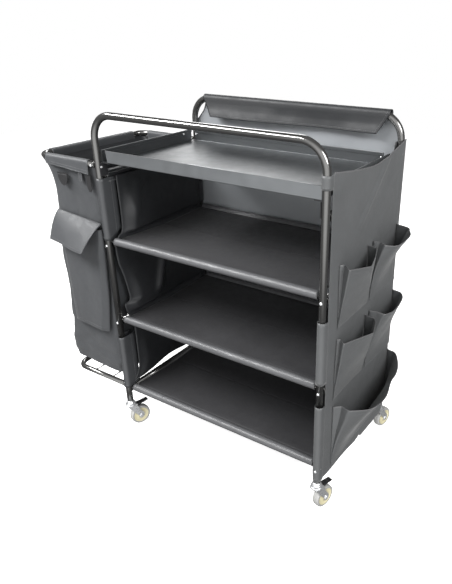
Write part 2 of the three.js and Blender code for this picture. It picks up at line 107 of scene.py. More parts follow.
# ---- Mesh building ----
def make(name, points, faces, material, slot, body="root", smooth=True):
    """A mesh object from millimetre points in the cart's frame, riding on a CAD body."""
    mesh = bpy.data.meshes.new(name)
    placed = np.asarray(points, float) * MM + np.array(ORIGIN)
    mesh.from_pydata(placed.tolist(), [], [tuple(int(i) for i in f) for f in faces])
    mesh.validate()
    if smooth:
        mesh.shade_smooth()
    piece = bpy.data.objects.new(name, mesh)
    bpy.context.scene.collection.objects.link(piece)
    mesh.materials.append(material)
    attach(piece, body)
    return piece


def grid_faces(rows, columns, wrap_rows=False, wrap_columns=False, start=0):
    faces = []
    for i in range(rows if wrap_rows else rows - 1):
        for j in range(columns if wrap_columns else columns - 1):
            a, b = start + i * columns + j, start + i * columns + (j + 1) % columns
            below = start + ((i + 1) % rows) * columns
            faces.append((a, b, below + (j + 1) % columns, below + j))
    return faces


def unit(v):
    return v / np.maximum(np.linalg.norm(v, axis=-1, keepdims=True), 1e-12)


def rounded(corners, radius, steps=14):
    """A path through corners, with each inner corner rounded by an arc."""
    corners = [np.array(c, float) for c in corners]
    path = [corners[0]]
    for before, corner, after in zip(corners, corners[1:], corners[2:]):
        arrive, leave = unit(corner - before), unit(after - corner)
        turn = math.acos(float(np.clip(arrive @ leave, -1, 1)))
        start = corner - arrive * radius * math.tan(turn / 2)
        inward = unit(leave - arrive * (arrive @ leave))
        for k in range(steps + 1):
            angle = turn * k / steps
            path.append(start + arrive * radius * math.sin(angle)
                        + inward * radius * (1 - math.cos(angle)))
    path.append(corners[-1])
    return np.array(path)


def spline(points, count, closed=False):
    """Catmull-Rom curve through given points, evenly spaced along its length."""
    p = np.array(points, float)
    n = len(p)
    spans = n if closed else n - 1
    fine = []
    for i in range(spans):
        if closed:
            a, b, c, d = (p[(i + k) % n] for k in (-1, 0, 1, 2))
        else:
            a, b, c, d = p[max(i - 1, 0)], p[i], p[i + 1], p[min(i + 2, n - 1)]
        for t in np.linspace(0, 1, 24, endpoint=False):
            fine.append(0.5 * (2 * b + (c - a) * t + (2 * a - 5 * b + 4 * c - d) * t * t
                               + (3 * b - a - 3 * c + d) * t ** 3))
    fine.append(p[0] if closed else p[-1])
    return resampled(np.array(fine), count + 1)[:-1] if closed else resampled(np.array(fine), count)


def resampled(line, count):
    lengths = np.concatenate([[0], np.cumsum(np.linalg.norm(np.diff(line, axis=0), axis=1))])
    wanted = np.linspace(0, lengths[-1], count)
    return np.stack([np.interp(wanted, lengths, line[:, k]) for k in range(line.shape[1])], axis=1)


def run_length(line):
    return float(np.linalg.norm(np.diff(np.asarray(line, float), axis=0), axis=1).sum())


def traced(points, count, at):
    """A given profile's second measure, read off at places along its first."""
    curve = spline(points, count)
    curve = curve[np.argsort(curve[:, 0])]
    return np.interp(at, curve[:, 0], curve[:, 1])


def circle(radius, sides=40):
    angles = np.linspace(0, 2 * math.pi, sides, endpoint=False)
    return np.stack([radius * np.cos(angles), radius * np.sin(angles)], axis=1)


def flat_tape(width, thickness):
    """Section of a folded binding tape: a flat oval."""
    return circle(1, 14) * np.array([width / 2, thickness / 2])


def sweep(path, section, up, closed=False):
    """Points and faces of a section carried along a path. The section's first coordinate
    runs across, its second along `up`, which is carried along without twisting."""
    path = np.asarray(path, float)
    n, m = len(path), len(section)
    if closed:
        tangents = unit(np.roll(path, -1, axis=0) - np.roll(path, 1, axis=0))
    else:
        tangents = unit(np.gradient(path, axis=0))
    normal = np.array(up, float)
    points = []
    for p, t in zip(path, tangents):
        normal = unit(normal - t * (normal @ t))
        across = np.cross(t, normal)
        points.append(p + section[:, :1] * across + section[:, 1:] * normal)
    faces = grid_faces(n, m, closed, True)
    if not closed:
        faces += [tuple(range(m))[::-1], tuple(range((n - 1) * m, n * m))]
    return np.concatenate(points), faces


def joined(*parts):
    points, faces, start = [], [], 0
    for p, f in parts:
        points.append(np.asarray(p, float))
        faces += [tuple(i + start for i in face) for face in f]
        start += len(p)
    return np.concatenate(points), faces


def turned(profile, place, axis, sides=48):
    """A piece turned about an axis. The profile is [radius, distance along the axis]."""
    turn = np.array(Vector((0, 0, 1)).rotation_difference(Vector(axis)).to_matrix())
    angles = np.linspace(0, 2 * math.pi, sides, endpoint=False)
    rings = [np.stack([r * np.cos(angles), r * np.sin(angles), np.full(sides, h)], axis=1)
             for r, h in profile]
    points = np.concatenate(rings) @ turn.T + np.array(place, float)
    faces = grid_faces(len(profile), sides, False, True)
    faces += [tuple(range(sides))[::-1],
              tuple(range((len(profile) - 1) * sides, len(profile) * sides))]
    return points, faces


def block(low, high, bevel=0.6):
    """A plate between two corners, with its edges eased by a bevel of that width."""
    low, high = np.array(low, float), np.array(high, float)
    centre, half = (low + high) / 2, (high - low) / 2
    bevel = min(bevel, half.min() * 0.9)
    points, index = [], {}
    for corner in np.ndindex(2, 2, 2):
        sign = np.array(corner) * 2 - 1
        for k in range(3):
            eased = half - bevel
            eased[k] = half[k]
            index[corner + (k,)] = len(points)
            points.append(centre + sign * eased)
    faces = []
    for k in range(3):
        a, b = [i for i in range(3) if i != k]
        for s in (0, 1):
            ring = []
            for sa, sb in ((0, 0), (1, 0), (1, 1), (0, 1)):
                corner = [0, 0, 0]
                corner[k], corner[a], corner[b] = s, sa, sb
                ring.append(index[tuple(corner) + (k,)])
            faces.append(tuple(ring if (s == 1) != (k == 1) else ring[::-1]))
        for sa in (0, 1):
            for sb in (0, 1):
                ends = []
                for s in (0, 1):
                    corner = [0, 0, 0]
                    corner[k], corner[a], corner[b] = s, sa, sb
                    ends.append(tuple(corner))
                face = (index[ends[0] + (a,)], index[ends[1] + (a,)],
                        index[ends[1] + (b,)], index[ends[0] + (b,)])
                faces.append(face if (sa == sb) == (k != 1) else face[::-1])
    for corner in np.ndindex(2, 2, 2):
        face = tuple(index[corner + (k,)] for k in range(3))
        faces.append(face if sum(corner) % 2 == 1 else face[::-1])
    return np.array(points), faces


def cloth(name, surface, material, slot, thickness=1.6, body="root", wrap=False):
    """A sheet from a grid of points (rows, columns, 3), thickened and softened."""
    rows, columns = surface.shape[:2]
    piece = make(name, surface.reshape(-1, 3), grid_faces(rows, columns, False, wrap),
                 material, slot, body)
    solid = piece.modifiers.new("thickness", "SOLIDIFY")
    solid.thickness = thickness * MM
    solid.offset = 0
    return piece


def rough(points, size, height, seed=0.0):
    """Soft random swelling of cloth, `height` at most, over lengths of about `size`."""
    flat = points.reshape(-1, 3)
    shift = Vector((seed * 7.3, seed * 3.1, seed * 1.7))
    values = [noise.noise(Vector(p) / size + shift) for p in flat]
    return height * np.array(values).reshape(points.shape[:-1])


def crease(a, b, start, end, width, height):
    """A fold of cloth along the line start-end in the plane of coordinates a and b."""
    start, end = np.array(start, float), np.array(end, float)
    run = end - start
    along = ((a - start[0]) * run[0] + (b - start[1]) * run[1]) / (run @ run)
    off = (a - start[0]) * run[1] - (b - start[1]) * run[0]
    off = off / np.linalg.norm(run)
    fade = np.clip(along / 0.15, 0, 1) * np.clip((1 - along) / 0.35, 0, 1)
    return height * np.exp(-(off / width) ** 2) * fade * fade * (3 - 2 * fade)


def smoothstep(low, high, value):
    t = np.clip((value - low) / (high - low), 0, 1)
    return t * t * (3 - 2 * t)


# ---- Materials ----
class Finish:
    """A node material with a Principled shader and short ways to add detail to it."""

    def __init__(self, name, color, roughness, metallic=0.0, **sockets):
        self.material = bpy.data.materials.new(name)
        self.material.use_nodes = True
        self.tree = self.material.node_tree
        self.shader = self.tree.nodes["Principled BSDF"]
        self.color = color
        self.shader.inputs["Base Color"].default_value = (*color, 1)
        self.shader.inputs["Roughness"].default_value = roughness
        self.shader.inputs["Metallic"].default_value = metallic
        for socket, value in sockets.items():
            self.shader.inputs[socket.replace("_", " ")].default_value = value
        self.place = self.tree.nodes.new("ShaderNodeTexCoord").outputs["Object"]
        self.bump = None

    def math(self, operation, a, b=0.0):
        node = self.tree.nodes.new("ShaderNodeMath")
        node.operation = operation
        for socket, value in zip(node.inputs, (a, b)):
            if isinstance(value, (int, float)):
                socket.default_value = value
            else:
                self.tree.links.new(value, socket)
        return node.outputs[0]

    def noise(self, scale, detail=3.0, stretch=(1, 1, 1), roughness=0.5):
        mapping = self.tree.nodes.new("ShaderNodeMapping")
        mapping.inputs["Scale"].default_value = stretch
        self.tree.links.new(self.place, mapping.inputs["Vector"])
        node = self.tree.nodes.new("ShaderNodeTexNoise")
        node.inputs["Scale"].default_value = scale
        node.inputs["Detail"].default_value = detail
        node.inputs["Roughness"].default_value = roughness
        self.tree.links.new(mapping.outputs[0], node.inputs["Vector"])
        return node.outputs["Fac"]

    def ranged(self, value, low, high, out_low, out_high):
        node = self.tree.nodes.new("ShaderNodeMapRange")
        node.interpolation_type = "SMOOTHSTEP"
        for k, number in enumerate((low, high, out_low, out_high), 1):
            node.inputs[k].default_value = number
        self.tree.links.new(value, node.inputs[0])
        return node.outputs[0]

    def tint(self, value, color, amount=1.0):
        """Mixes another colour in where value is high, on top of what is there."""
        mix = self.tree.nodes.new("ShaderNodeMix")
        mix.data_type = "RGBA"
        self.tree.links.new(self.math("MULTIPLY", value, amount), mix.inputs["Factor"])
        base = self.shader.inputs["Base Color"]
        if base.is_linked:
            self.tree.links.new(base.links[0].from_socket, mix.inputs["A"])
        else:
            mix.inputs["A"].default_value = (*self.color, 1)
        mix.inputs["B"].default_value = (*color, 1)
        self.tree.links.new(mix.outputs["Result"], base)
        return self

    def patches(self, scale, detail, low, high, color, amount, stretch=(1, 1, 1)):
        """Noise-shaped patches of another colour, where the noise runs from low to high."""
        return self.tint(self.ranged(self.noise(scale, detail, stretch), low, high, 0, 1), color, amount)

    def rough_by(self, value, low, high):
        self.tree.links.new(self.ranged(value, 0.3, 0.7, low, high), self.shader.inputs["Roughness"])
        return self

    def bumped(self, height, distance, strength=1.0):
        """Adds relief of `distance` millimetres; several of them stack."""
        node = self.tree.nodes.new("ShaderNodeBump")
        node.inputs["Strength"].default_value = strength
        node.inputs["Distance"].default_value = distance * MM
        self.tree.links.new(height, node.inputs["Height"])
        if self.bump:
            self.tree.links.new(self.bump, node.inputs["Normal"])
        self.bump = node.outputs[0]
        self.tree.links.new(self.bump, self.shader.inputs["Normal"])
        return self

    def weave(self, pitch):
        """Height of a plain weave with that thread pitch, on surfaces facing any axis."""
        split = self.tree.nodes.new("ShaderNodeSeparateXYZ")
        self.tree.links.new(self.place, split.inputs[0])
        rate = 2 * math.pi / (pitch * MM * 2)
        waves = [self.math("SINE", self.math("MULTIPLY", axis, rate)) for axis in split.outputs]
        pairs = [self.math("MULTIPLY", waves[a], waves[b]) for a, b in ((0, 1), (1, 2), (2, 0))]
        return self.math("ADD", self.math("ADD", pairs[0], pairs[1]), pairs[2])


def coated_fabric(name, color, roughness, pitch=0.9, relief=0.05, **sockets):
    """Coated oxford cloth: a fine weave, faint mottling, and scuffs that catch the light."""
    f = Finish(name, color, roughness, **sockets)
    lighter = tuple(min(1, c * 1.22 + 0.002) for c in color)
    darker = tuple(c * 0.84 for c in color)
    f.patches(7, 3, 0.4, 0.75, lighter, 0.4)
    f.patches(19, 3, 0.5, 0.8, darker, 0.4)
    f.patches(150, 2, 0.64, 0.76, lighter, 0.25)
    f.rough_by(f.noise(40, 4), roughness - 0.04, roughness + 0.06)
    f.bumped(f.noise(24, 2), 0.5, 0.25)
    f.bumped(f.weave(pitch), relief, 0.6)
    return f.material


def tube_paint(name, color, roughness):
    """Gunmetal tube paint: metallic and clear-coated, with faint flake and a few scuffs."""
    f = Finish(name, color, roughness, 0.85, Coat_Weight=0.6, Coat_Roughness=0.14)
    f.patches(9, 3, 0.4, 0.8, tuple(c * 1.12 for c in color), 0.6)
    f.patches(60, 5, 0.7, 0.76, (0.22, 0.22, 0.22), 0.2, (1, 1, 0.1))
    f.rough_by(f.noise(50, 3), roughness * 0.96, roughness * 1.08)
    f.bumped(f.noise(900, 2), 0.002, 0.15)
    return f.material


def powder_coat(name, color, roughness, metallic=0.0, **sockets):
    f = Finish(name, color, roughness, metallic, **sockets)
    f.patches(6, 2, 0.4, 0.8, tuple(c * 1.1 for c in color), 0.6)
    f.patches(45, 5, 0.7, 0.78, tuple(c * 1.6 for c in color), 0.2, (0.1, 1, 1))
    f.rough_by(f.noise(30, 3), roughness * 0.92, roughness * 1.12)
    f.bumped(f.noise(700, 2), 0.008, 0.3)
    return f.material


def plated(name, color, roughness):
    f = Finish(name, color, roughness, 0.75)
    f.patches(60, 4, 0.5, 0.8, tuple(c * 0.82 for c in color), 0.6)
    f.patches(220, 5, 0.68, 0.75, (0.42, 0.40, 0.36), 0.25)
    f.rough_by(f.noise(150, 4), roughness * 0.85, roughness * 1.2)
    f.bumped(f.noise(500, 3, (1, 1, 0.1)), 0.005, 0.1)
    return f.material


def moulded(name, color, roughness, speck, **sockets):
    """Moulded rubber or plastic, with a fine texture and some road dirt."""
    f = Finish(name, color, roughness, **sockets)
    f.patches(45, 5, 0.5, 0.75, speck, 0.45)
    f.patches(380, 3, 0.6, 0.72, tuple(c * 0.7 for c in color), 0.3)
    f.rough_by(f.noise(90, 3), roughness * 0.85, roughness * 1.15)
    f.bumped(f.noise(800, 2), 0.04, 0.4)
    return f.material


GUNMETAL = tube_paint("gunmetal_tube", (0.14, 0.139, 0.136), 0.17)
# The tray is one paint: the lighter outer faces are painted light and the darker inside copy is painted
# shade.
TRAY_PAINT = powder_coat("tray_paint", (0.25, 0.262, 0.272), 0.38, 0.85, Coat_Weight=0.3, Coat_Roughness=0.3)
TRAY_PAINTED_SHADE = powder_coat("tray_inside_painted_shade", (0.085, 0.09, 0.094), 0.4, 0.8, Coat_Weight=0.3,
                          Coat_Roughness=0.34)
# Lighter bead along the lip tops: painted light on the tray's top edges.
LIP_PAINTED_LIGHT = powder_coat("tray_lip_painted_light", (0.2, 0.205, 0.21), 0.3, 0.4)
BLACK_STEEL = powder_coat("black_steel", (0.03, 0.03, 0.032), 0.4, 0.3)
OXFORD = coated_fabric("panel_oxford", (0.078, 0.081, 0.083), 0.46, Sheen_Weight=0.2, Sheen_Roughness=0.4)
# Lit copy of the panels' inner coating, far lighter than the cloth: painted light on the rear panel.
COATING_LIT = coated_fabric("coating_painted_light", (0.25, 0.262, 0.275), 0.32)
# Shaded copy of the same inner coating, far darker than the cloth: painted shade on the left panel, its rail
# sleeve and the bag's inside.
COATING_SHADED = coated_fabric("coating_painted_shade", (0.017, 0.018, 0.02), 0.5)
DECK_CLOTH = coated_fabric("deck_cloth", (0.019, 0.019, 0.021), 0.66, 1.1, 0.09, Sheen_Weight=0.06)
# Lighter copy of the deck cloth where it wraps the rails: painted light.
WRAP_PAINTED_LIGHT = coated_fabric("deck_wrap_painted_light", (0.085, 0.086, 0.09), 0.36, 1.1, 0.09)
# Lighter copy of the left panel's cloth for its sleeves and bindings: painted light.
SLEEVE_PAINTED_LIGHT = coated_fabric("leg_sleeve", (0.045, 0.047, 0.05), 0.42)
# Darker copy of the rear panel's cloth for the flap folded over the bar: painted shade.
FLAP_PAINTED_SHADE = coated_fabric("rear_flap_painted_shade", (0.010, 0.011, 0.0125), 0.56)
BAG_CLOTH = coated_fabric("bag_oxford", (0.034, 0.0365, 0.040), 0.5, 1.2, 0.1, Sheen_Weight=0.15)
BINDING = coated_fabric("edge_binding", (0.11, 0.11, 0.112), 0.45, 0.7, 0.09)
WEBBING = coated_fabric("black_webbing", (0.010, 0.010, 0.011), 0.6, 1.4, 0.2)
THREAD = Finish("stitching", (0.16, 0.16, 0.165), 0.6)
THREAD.bumped(THREAD.noise(2500, 2), 0.05)
THREAD = THREAD.material
ZINC = plated("zinc_plate", (0.72, 0.73, 0.74), 0.3)
TREAD = moulded("wheel_tread", (0.36, 0.36, 0.35), 0.5, (0.4, 0.39, 0.36))
HUB = moulded("wheel_hub", (0.66, 0.61, 0.40), 0.42, (0.6, 0.55, 0.4))
BLACK_PLASTIC = moulded("black_plastic", (0.015, 0.015, 0.016), 0.4, (0.04, 0.04, 0.04))


# ---- Camera, light and floor ----
CAMERA_PLACE = Vector((1033.8, -1459.0, 1426.6))
CAMERA_AIM = (31.94, 25.62)         # round to the cart's right and down, in degrees
FRONT = (0.45, -0.88, -0.06)        # where the room is brightest
FILL = (0.17, 1.9)                  # room light behind the cart and in front of it
FLOOR_HALF = 6.0


def set_stage():
    scene = bpy.context.scene
    scene.view_settings.view_transform = "Standard"
    camera = bpy.data.objects.new("camera", bpy.data.cameras.new("camera"))
    scene.collection.objects.link(camera)
    scene.camera = camera
    camera.location = ORIGIN + CAMERA_PLACE * MM
    azimuth, elevation = (math.radians(angle) for angle in CAMERA_AIM)
    ahead = Vector((-math.sin(azimuth) * math.cos(elevation), math.cos(azimuth) * math.cos(elevation),
                    -math.sin(elevation)))
    camera.rotation_mode = "QUATERNION"
    camera.rotation_quaternion = ahead.to_track_quat("-Z", "Y")
    camera.data.lens = 35.76
    camera.data.sensor_width = 36
    camera.data.shift_x = -0.0958
    camera.data.shift_y = -0.001

    world = bpy.data.worlds.new("studio")
    scene.world = world
    world.use_nodes = True
    tree = world.node_tree
    tree.nodes["Background"].inputs["Color"].default_value = (1, 1, 1, 1)
    # the room is brighter in front of the cart and darker behind it
    split = tree.nodes.new("ShaderNodeVectorMath")
    split.operation = "DOT_PRODUCT"
    tree.links.new(tree.nodes.new("ShaderNodeTexCoord").outputs["Generated"], split.inputs[0])
    split.inputs[1].default_value = FRONT
    room = tree.nodes.new("ShaderNodeMapRange")
    room.interpolation_type = "SMOOTHSTEP"
    for k, number in enumerate((0.25, 1.0, *FILL), 1):
        room.inputs[k].default_value = number
    tree.links.new(split.outputs["Value"], room.inputs[0])
    # the backdrop itself is seen pure white
    strength = tree.nodes.new("ShaderNodeMix")
    tree.links.new(tree.nodes.new("ShaderNodeLightPath").outputs["Is Camera Ray"], strength.inputs["Factor"])
    tree.links.new(room.outputs[0], strength.inputs["A"])
    strength.inputs["B"].default_value = 1.0
    tree.links.new(strength.outputs["Result"], tree.nodes["Background"].inputs["Strength"])

    half = FLOOR_HALF
    mesh = bpy.data.meshes.new("floor")
    mesh.from_pydata([(-half, -half, 0), (half, -half, 0), (half, half, 0), (-half, half, 0)],
                     [], [(0, 1, 2, 3)])
    floor = bpy.data.objects.new("floor", mesh)
    scene.collection.objects.link(floor)
    pale = Finish("pale_floor", (0.93, 0.93, 0.93), 0.7, Emission_Color=(1, 1, 1, 1), Emission_Strength=0.8)
    pale.patches(3, 2, 0.3, 0.7, (0.95, 0.95, 0.95), 1)
    mesh.materials.append(pale.material)
    # the floor is seen, but neither lights the cart nor shows in its gloss
    floor.visible_diffuse = False
    floor.visible_glossy = False

    softbox("key", (-1.75, -1.8, 3.0), 2.9, 210, 0.6)
    softbox("side", (2.5, -0.8, 2.3), 1.5, 72)
    softbox("back", (-1.75, 2.7, 2.5), 1.6, 45)


def softbox(name, place, size, watts, height=None):
    lamp = bpy.data.lights.new(name, "AREA")
    lamp.shape = "ELLIPSE"
    lamp.size_y = height or size
    lamp.size = size
    lamp.energy = watts
    light = bpy.data.objects.new(name, lamp)
    bpy.context.scene.collection.objects.link(light)
    light.location = place
    aim = Vector((0, 0, 0.6)) - Vector(place)
    light.rotation_mode = "QUATERNION"
    light.rotation_quaternion = aim.to_track_quat("-Z", "Y")


# ---- Frame tubes ----
UP = (0, 0, 1)
SIDES = (("left", -LEG_X), ("right", LEG_X))


def tube(name, path, radius, replaced, up=UP, extras=()):
    parts = [sweep(path, circle(radius), up), *extras]
    piece = make(name, *joined(*parts), GUNMETAL, "tube_paint")
    if replaced:
        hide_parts(replaced)
    return piece


def upper_frames():
    foot = low_mm("front_upper_frame").z
    bend = 76
    for end, y in (("front", -LEG_Y), ("rear", LEG_Y)):
        corners = [(-LEG_X, y, foot), (-LEG_X, y, HANDLE), (LEG_X, y, HANDLE), (LEG_X, y, foot)]
        tube(f"{end}_hoop", rounded(corners, bend, 22), TUBE, f"{end}_upper_frame", (0, 1, 0))
        for side, x in SIDES:
            profile = [(TUBE - 1.4, LEG_FOOT), (TUBE, LEG_FOOT + 0.8), (TUBE, foot - 0.6), (TUBE - 0.6, foot)]
            leg = make(f"{end}_{side}_lower_leg", *turned(profile, (x, y, 0), UP), GUNMETAL, "tube_paint")
            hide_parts(f"{end}_leg_{side}")


def side_rail(name, x, z, replaced):
    """A side rail with a pressed saddle at each end, where it is bolted to the leg."""
    reach = high_mm(replaced).y
    saddles = []
    for sign in (-1, 1):
        profile = [(TUBE + 0.2, 0), (TUBE + 1.3, 0.6), (TUBE + 1.3, 6), (TUBE + 0.1, 7.5)]
        saddles.append(turned(profile, (x, sign * reach, z), (0, -sign, 0)))
    tube(name, [(x, -reach, z), (x, reach, z)], TUBE, replaced, extras=saddles)


def side_rails():
    for level, z in SIDE_RAILS.items():
        for side, x in SIDES:
            side_rail(f"{level}_{side}_side_rail", x, z, f"shelf_{level}_{side}_rail")
    for side, x in SIDES:
        side_rail(f"upper_{side}_side_rail", x, UPPER_RAIL, f"upper_side_rail_{side}")


def shelf_rails():
    """Front and rear shelf rails, with domed ends and the flat tongue that seats each one."""
    for level, z in SHELVES.items():
        for end, sign in (("front", -1), ("rear", 1)):
            node = f"shelf_{level}_{end}_rail"
            y = sign * SHELF_Y
            reach = LEG_X - TUBE - 13
            dome = [(TUBE * math.cos(a) ** 0.6, reach - 4 + 4 * math.sin(a)) for a in np.linspace(0, 1.45, 8)]
            both = [(r, -h) for r, h in dome[::-1]] + dome
            parts = [turned(both, (0, y, z), (1, 0, 0), 40)]
            low, high = span(node)
            outer = high.y if sign > 0 else low.y
            seat = z - 12.5 + TUBE + 0.3
            for side in (-1, 1):
                x0, x1 = sorted((side * (reach - 6), side * LEG_X))
                y0, y1 = sorted((outer, outer - sign * 7))
                parts.append(block((x0, y0, seat), (x1, y1, seat + 3)))
            rail = make(f"{level}_{end}_shelf_rail", *joined(*parts), GUNMETAL, "tube_paint")
            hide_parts(node)


def end_frames():
    """The tubular rim that carries the bag, and the rack below it with its two rods."""
    start = -LEG_X - TUBE - 0.3
    bend = 42
    for name, node, x, z in (("bag_rim_tube", "bag_rim", RIM_X, RIM),
                             ("rack_tube", "bag_rack", RACK_X, RACK)):
        corners = [(start, -LEG_Y, z), (x, -LEG_Y, z), (x, LEG_Y, z), (start, LEG_Y, z)]
        extras = []
        for sign in (-1, 1):
            profile = [(RIM_TUBE, 0), (RIM_TUBE + 1.4, 0.5), (RIM_TUBE + 1.4, 4), (RIM_TUBE, 5)]
            extras.append(turned(profile, (start, sign * LEG_Y, z), (-1, 0, 0)))
        if node == "bag_rack":
            for k in (1, 2):
                rod = x + k * (-LEG_X - x) / 3
                extras.append(sweep([(rod, -LEG_Y + 5, z), (rod, LEG_Y - 5, z)], circle(3, 20), UP))
        tube(name, rounded(corners, bend, 18), RIM_TUBE, node, extras=extras)


def bolt_head(place, axis, radius=3.6):
    """A domed screw head with a hexagon socket, on a thin washer."""
    profile = [(radius + 1.0, 0), (radius + 1.0, 0.5), (radius, 0.6), (radius * 0.96, 1.4),
               (radius * 0.72, 2.2), (radius * 0.45, 2.4), (radius * 0.42, 1.3), (0.2, 1.2)]
    return turned(profile, place, axis, 24)


def bolts():
    """Screw heads where the side rails, the tray and the rim are fixed to the front legs."""
    heads = []
    for x in (-LEG_X, LEG_X):
        for level in ("top", "middle"):
            heads.append(bolt_head((x, -LEG_Y - TUBE, SHELVES[level] - 13), (0, -1, 0)))
    heads.append(bolt_head((LEG_X, -LEG_Y - TUBE - 1.8, SHELVES["bottom"] - 14), (0, -1, 0)))
    heads.append(bolt_head((LEG_X + TUBE, -LEG_Y, SHELVES["bottom"] - 5), (1, 0, 0)))
    heads.append(bolt_head((-LEG_X + TUBE + 2, -LEG_Y, UPPER_RAIL + 28), (1, 0, 0)))
    heads.append(bolt_head((-LEG_X - 25, -LEG_Y - RIM_TUBE, RIM - 4), (0, -1, 0), 3.2))
    make("leg_screws", *joined(*heads), ZINC, "zinc_plate")


# ---- Tray ----
def tray():
    """Folded sheet: a floor with rounded folds up to four edges, whose tops are hemmed."""
    sheet, fold = 1.5, 3.0
    x1, y0, y1 = TRAY_HIGH.x, TRAY_LOW.y, TRAY_HIGH.y
    z0, z1 = TRAY_LOW.z, TRAY_HIGH.z
    notch = 18
    arc = [(fold * (1 - math.cos(a)), fold * (1 - math.sin(a))) for a in np.linspace(0, math.pi / 2, 7)]
    # the edge's profile: inward distance from the outer face, height above the floor
    outer = [(0, z1 - z0), (0, fold + 2)] + arc
    inner = [(sheet + r * (fold - sheet) / fold, sheet + h * (fold - sheet) / fold) for r, h in arc][::-1]
    hem = [(sheet + 2.2, z1 - z0 - 9), (sheet + 2.2, z1 - z0 - 1), (sheet + 1.4, z1 - z0)]
    profile = outer + inner + [(sheet, fold + 2), (sheet, z1 - z0 - 10)] + hem
    parts = [block((-x1 + fold, y0 + fold, z0), (x1 - fold, y1 - fold, z0 + sheet), 0.1)]
    runs = [
        ((-x1 + notch, y0), (x1 - sheet, y0), (0, 1)),
        ((x1 - notch, y1), (-x1 + notch, y1), (0, -1)),
        ((-x1, y1), (-x1, y0), (1, 0)),
        ((x1, y0), (x1, y1), (-1, 0)),
    ]
    for (ax, ay), (bx, by), (nx, ny) in runs:
        ends = []
        for px, py, sign in ((ax, ay, -1), (bx, by, 1)):
            run = unit(np.array([bx - ax, by - ay], float))
            rim = []
            for inward, height in profile:
                flare = sign * 5 * (height / (z1 - z0) - 1) if ny and abs(px) < x1 - notch + 1 else 0
                rim.append((px + nx * inward + run[0] * flare,
                            py + ny * inward + run[1] * flare, z0 + height))
            ends.append(rim)
        points = np.array(ends).reshape(-1, 3)
        n = len(profile)
        faces = grid_faces(2, n, False, True) + [tuple(range(n))[::-1], tuple(range(n, 2 * n))]
        parts.append((points, faces))
    piece = make("sheet_tray", *joined(*parts), TRAY_PAINT, "tray_paint", smooth=False)
    # the real tray is one colour: the darker inside stands in for shade that the lamps do not give
    piece.data.materials.append(TRAY_PAINTED_SHADE)
    number = 0
    for part in parts:
        for side in range(len(part[1])):
            is_outside = part is not parts[0] and side < len(outer)
            piece.data.polygons[number].material_index = 0 if is_outside else 1
            number += 1
    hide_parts("tray")
    screws = [
        bolt_head((-x1 + sheet + 2.4, y1 - 45, z1 - 11), (1, 0, 0), 2.6),
        bolt_head((-x1 + 26, y1 - sheet - 2.4, z1 - 14), (0, -1, 0), 2.6),
        bolt_head((x1 - sheet - 2.4, y1 - 45, z1 - 11), (-1, 0, 0), 2.6),
        bolt_head((x1 - 26, y1 - sheet - 2.4, z1 - 14), (0, -1, 0), 2.6),
    ]
    make("tray_screws", *joined(*screws), ZINC, "zinc_plate")
    lips = [sweep([(-x1 + notch, y0 + 0.4, z1 - 0.3), (x1 - sheet, y0 + 0.4, z1 - 0.3)], circle(0.9, 10), UP),
            sweep([(-x1 + 0.4, y0 + 2, z1 - 0.3), (-x1 + 0.4, y1 - 2, z1 - 0.3)], circle(0.9, 10), UP),
            sweep([(x1 - 0.4, y0 + 2, z1 - 0.3), (x1 - 0.4, y1 - 2, z1 - 0.3)], circle(0.9, 10), UP),
            sweep([(-x1 + notch, y1 - 0.4, z1 - 0.3), (x1 - notch, y1 - 0.4, z1 - 0.3)], circle(0.9, 10), UP)]
    # the hem beads take the lighter copy: painted light along the top edges
    make("tray_lip_hem", *joined(*lips), LIP_PAINTED_LIGHT, "tray_paint")


# ---- Shelves: a fabric deck that wraps the front and rear rails ----
def deck_profile(dip):
    """Half section of a deck from the middle crease out to its rail, as (y, height) with
    y measured from the rail centre towards the middle, then round the rail."""
    wrap = TUBE + 1.2
    line = [(SHELF_Y, -6.2), (SHELF_Y - 3, -4.9), (SHELF_Y - 9, -4.4), (SHELF_Y - 60, -2.2),
            (wrap + 34, 2.2), (wrap + 15, 3.0), (wrap + 9, 2.6 - dip * 0.5), (wrap + 4.5, 0.6 - dip),
            (wrap + 1.6, 2.6 - dip * 0.4)]
    for degrees in range(24, 328, 8):
        a = math.radians(degrees)
        line.append((wrap * math.cos(a), wrap * math.sin(a)))
    return np.array(line)


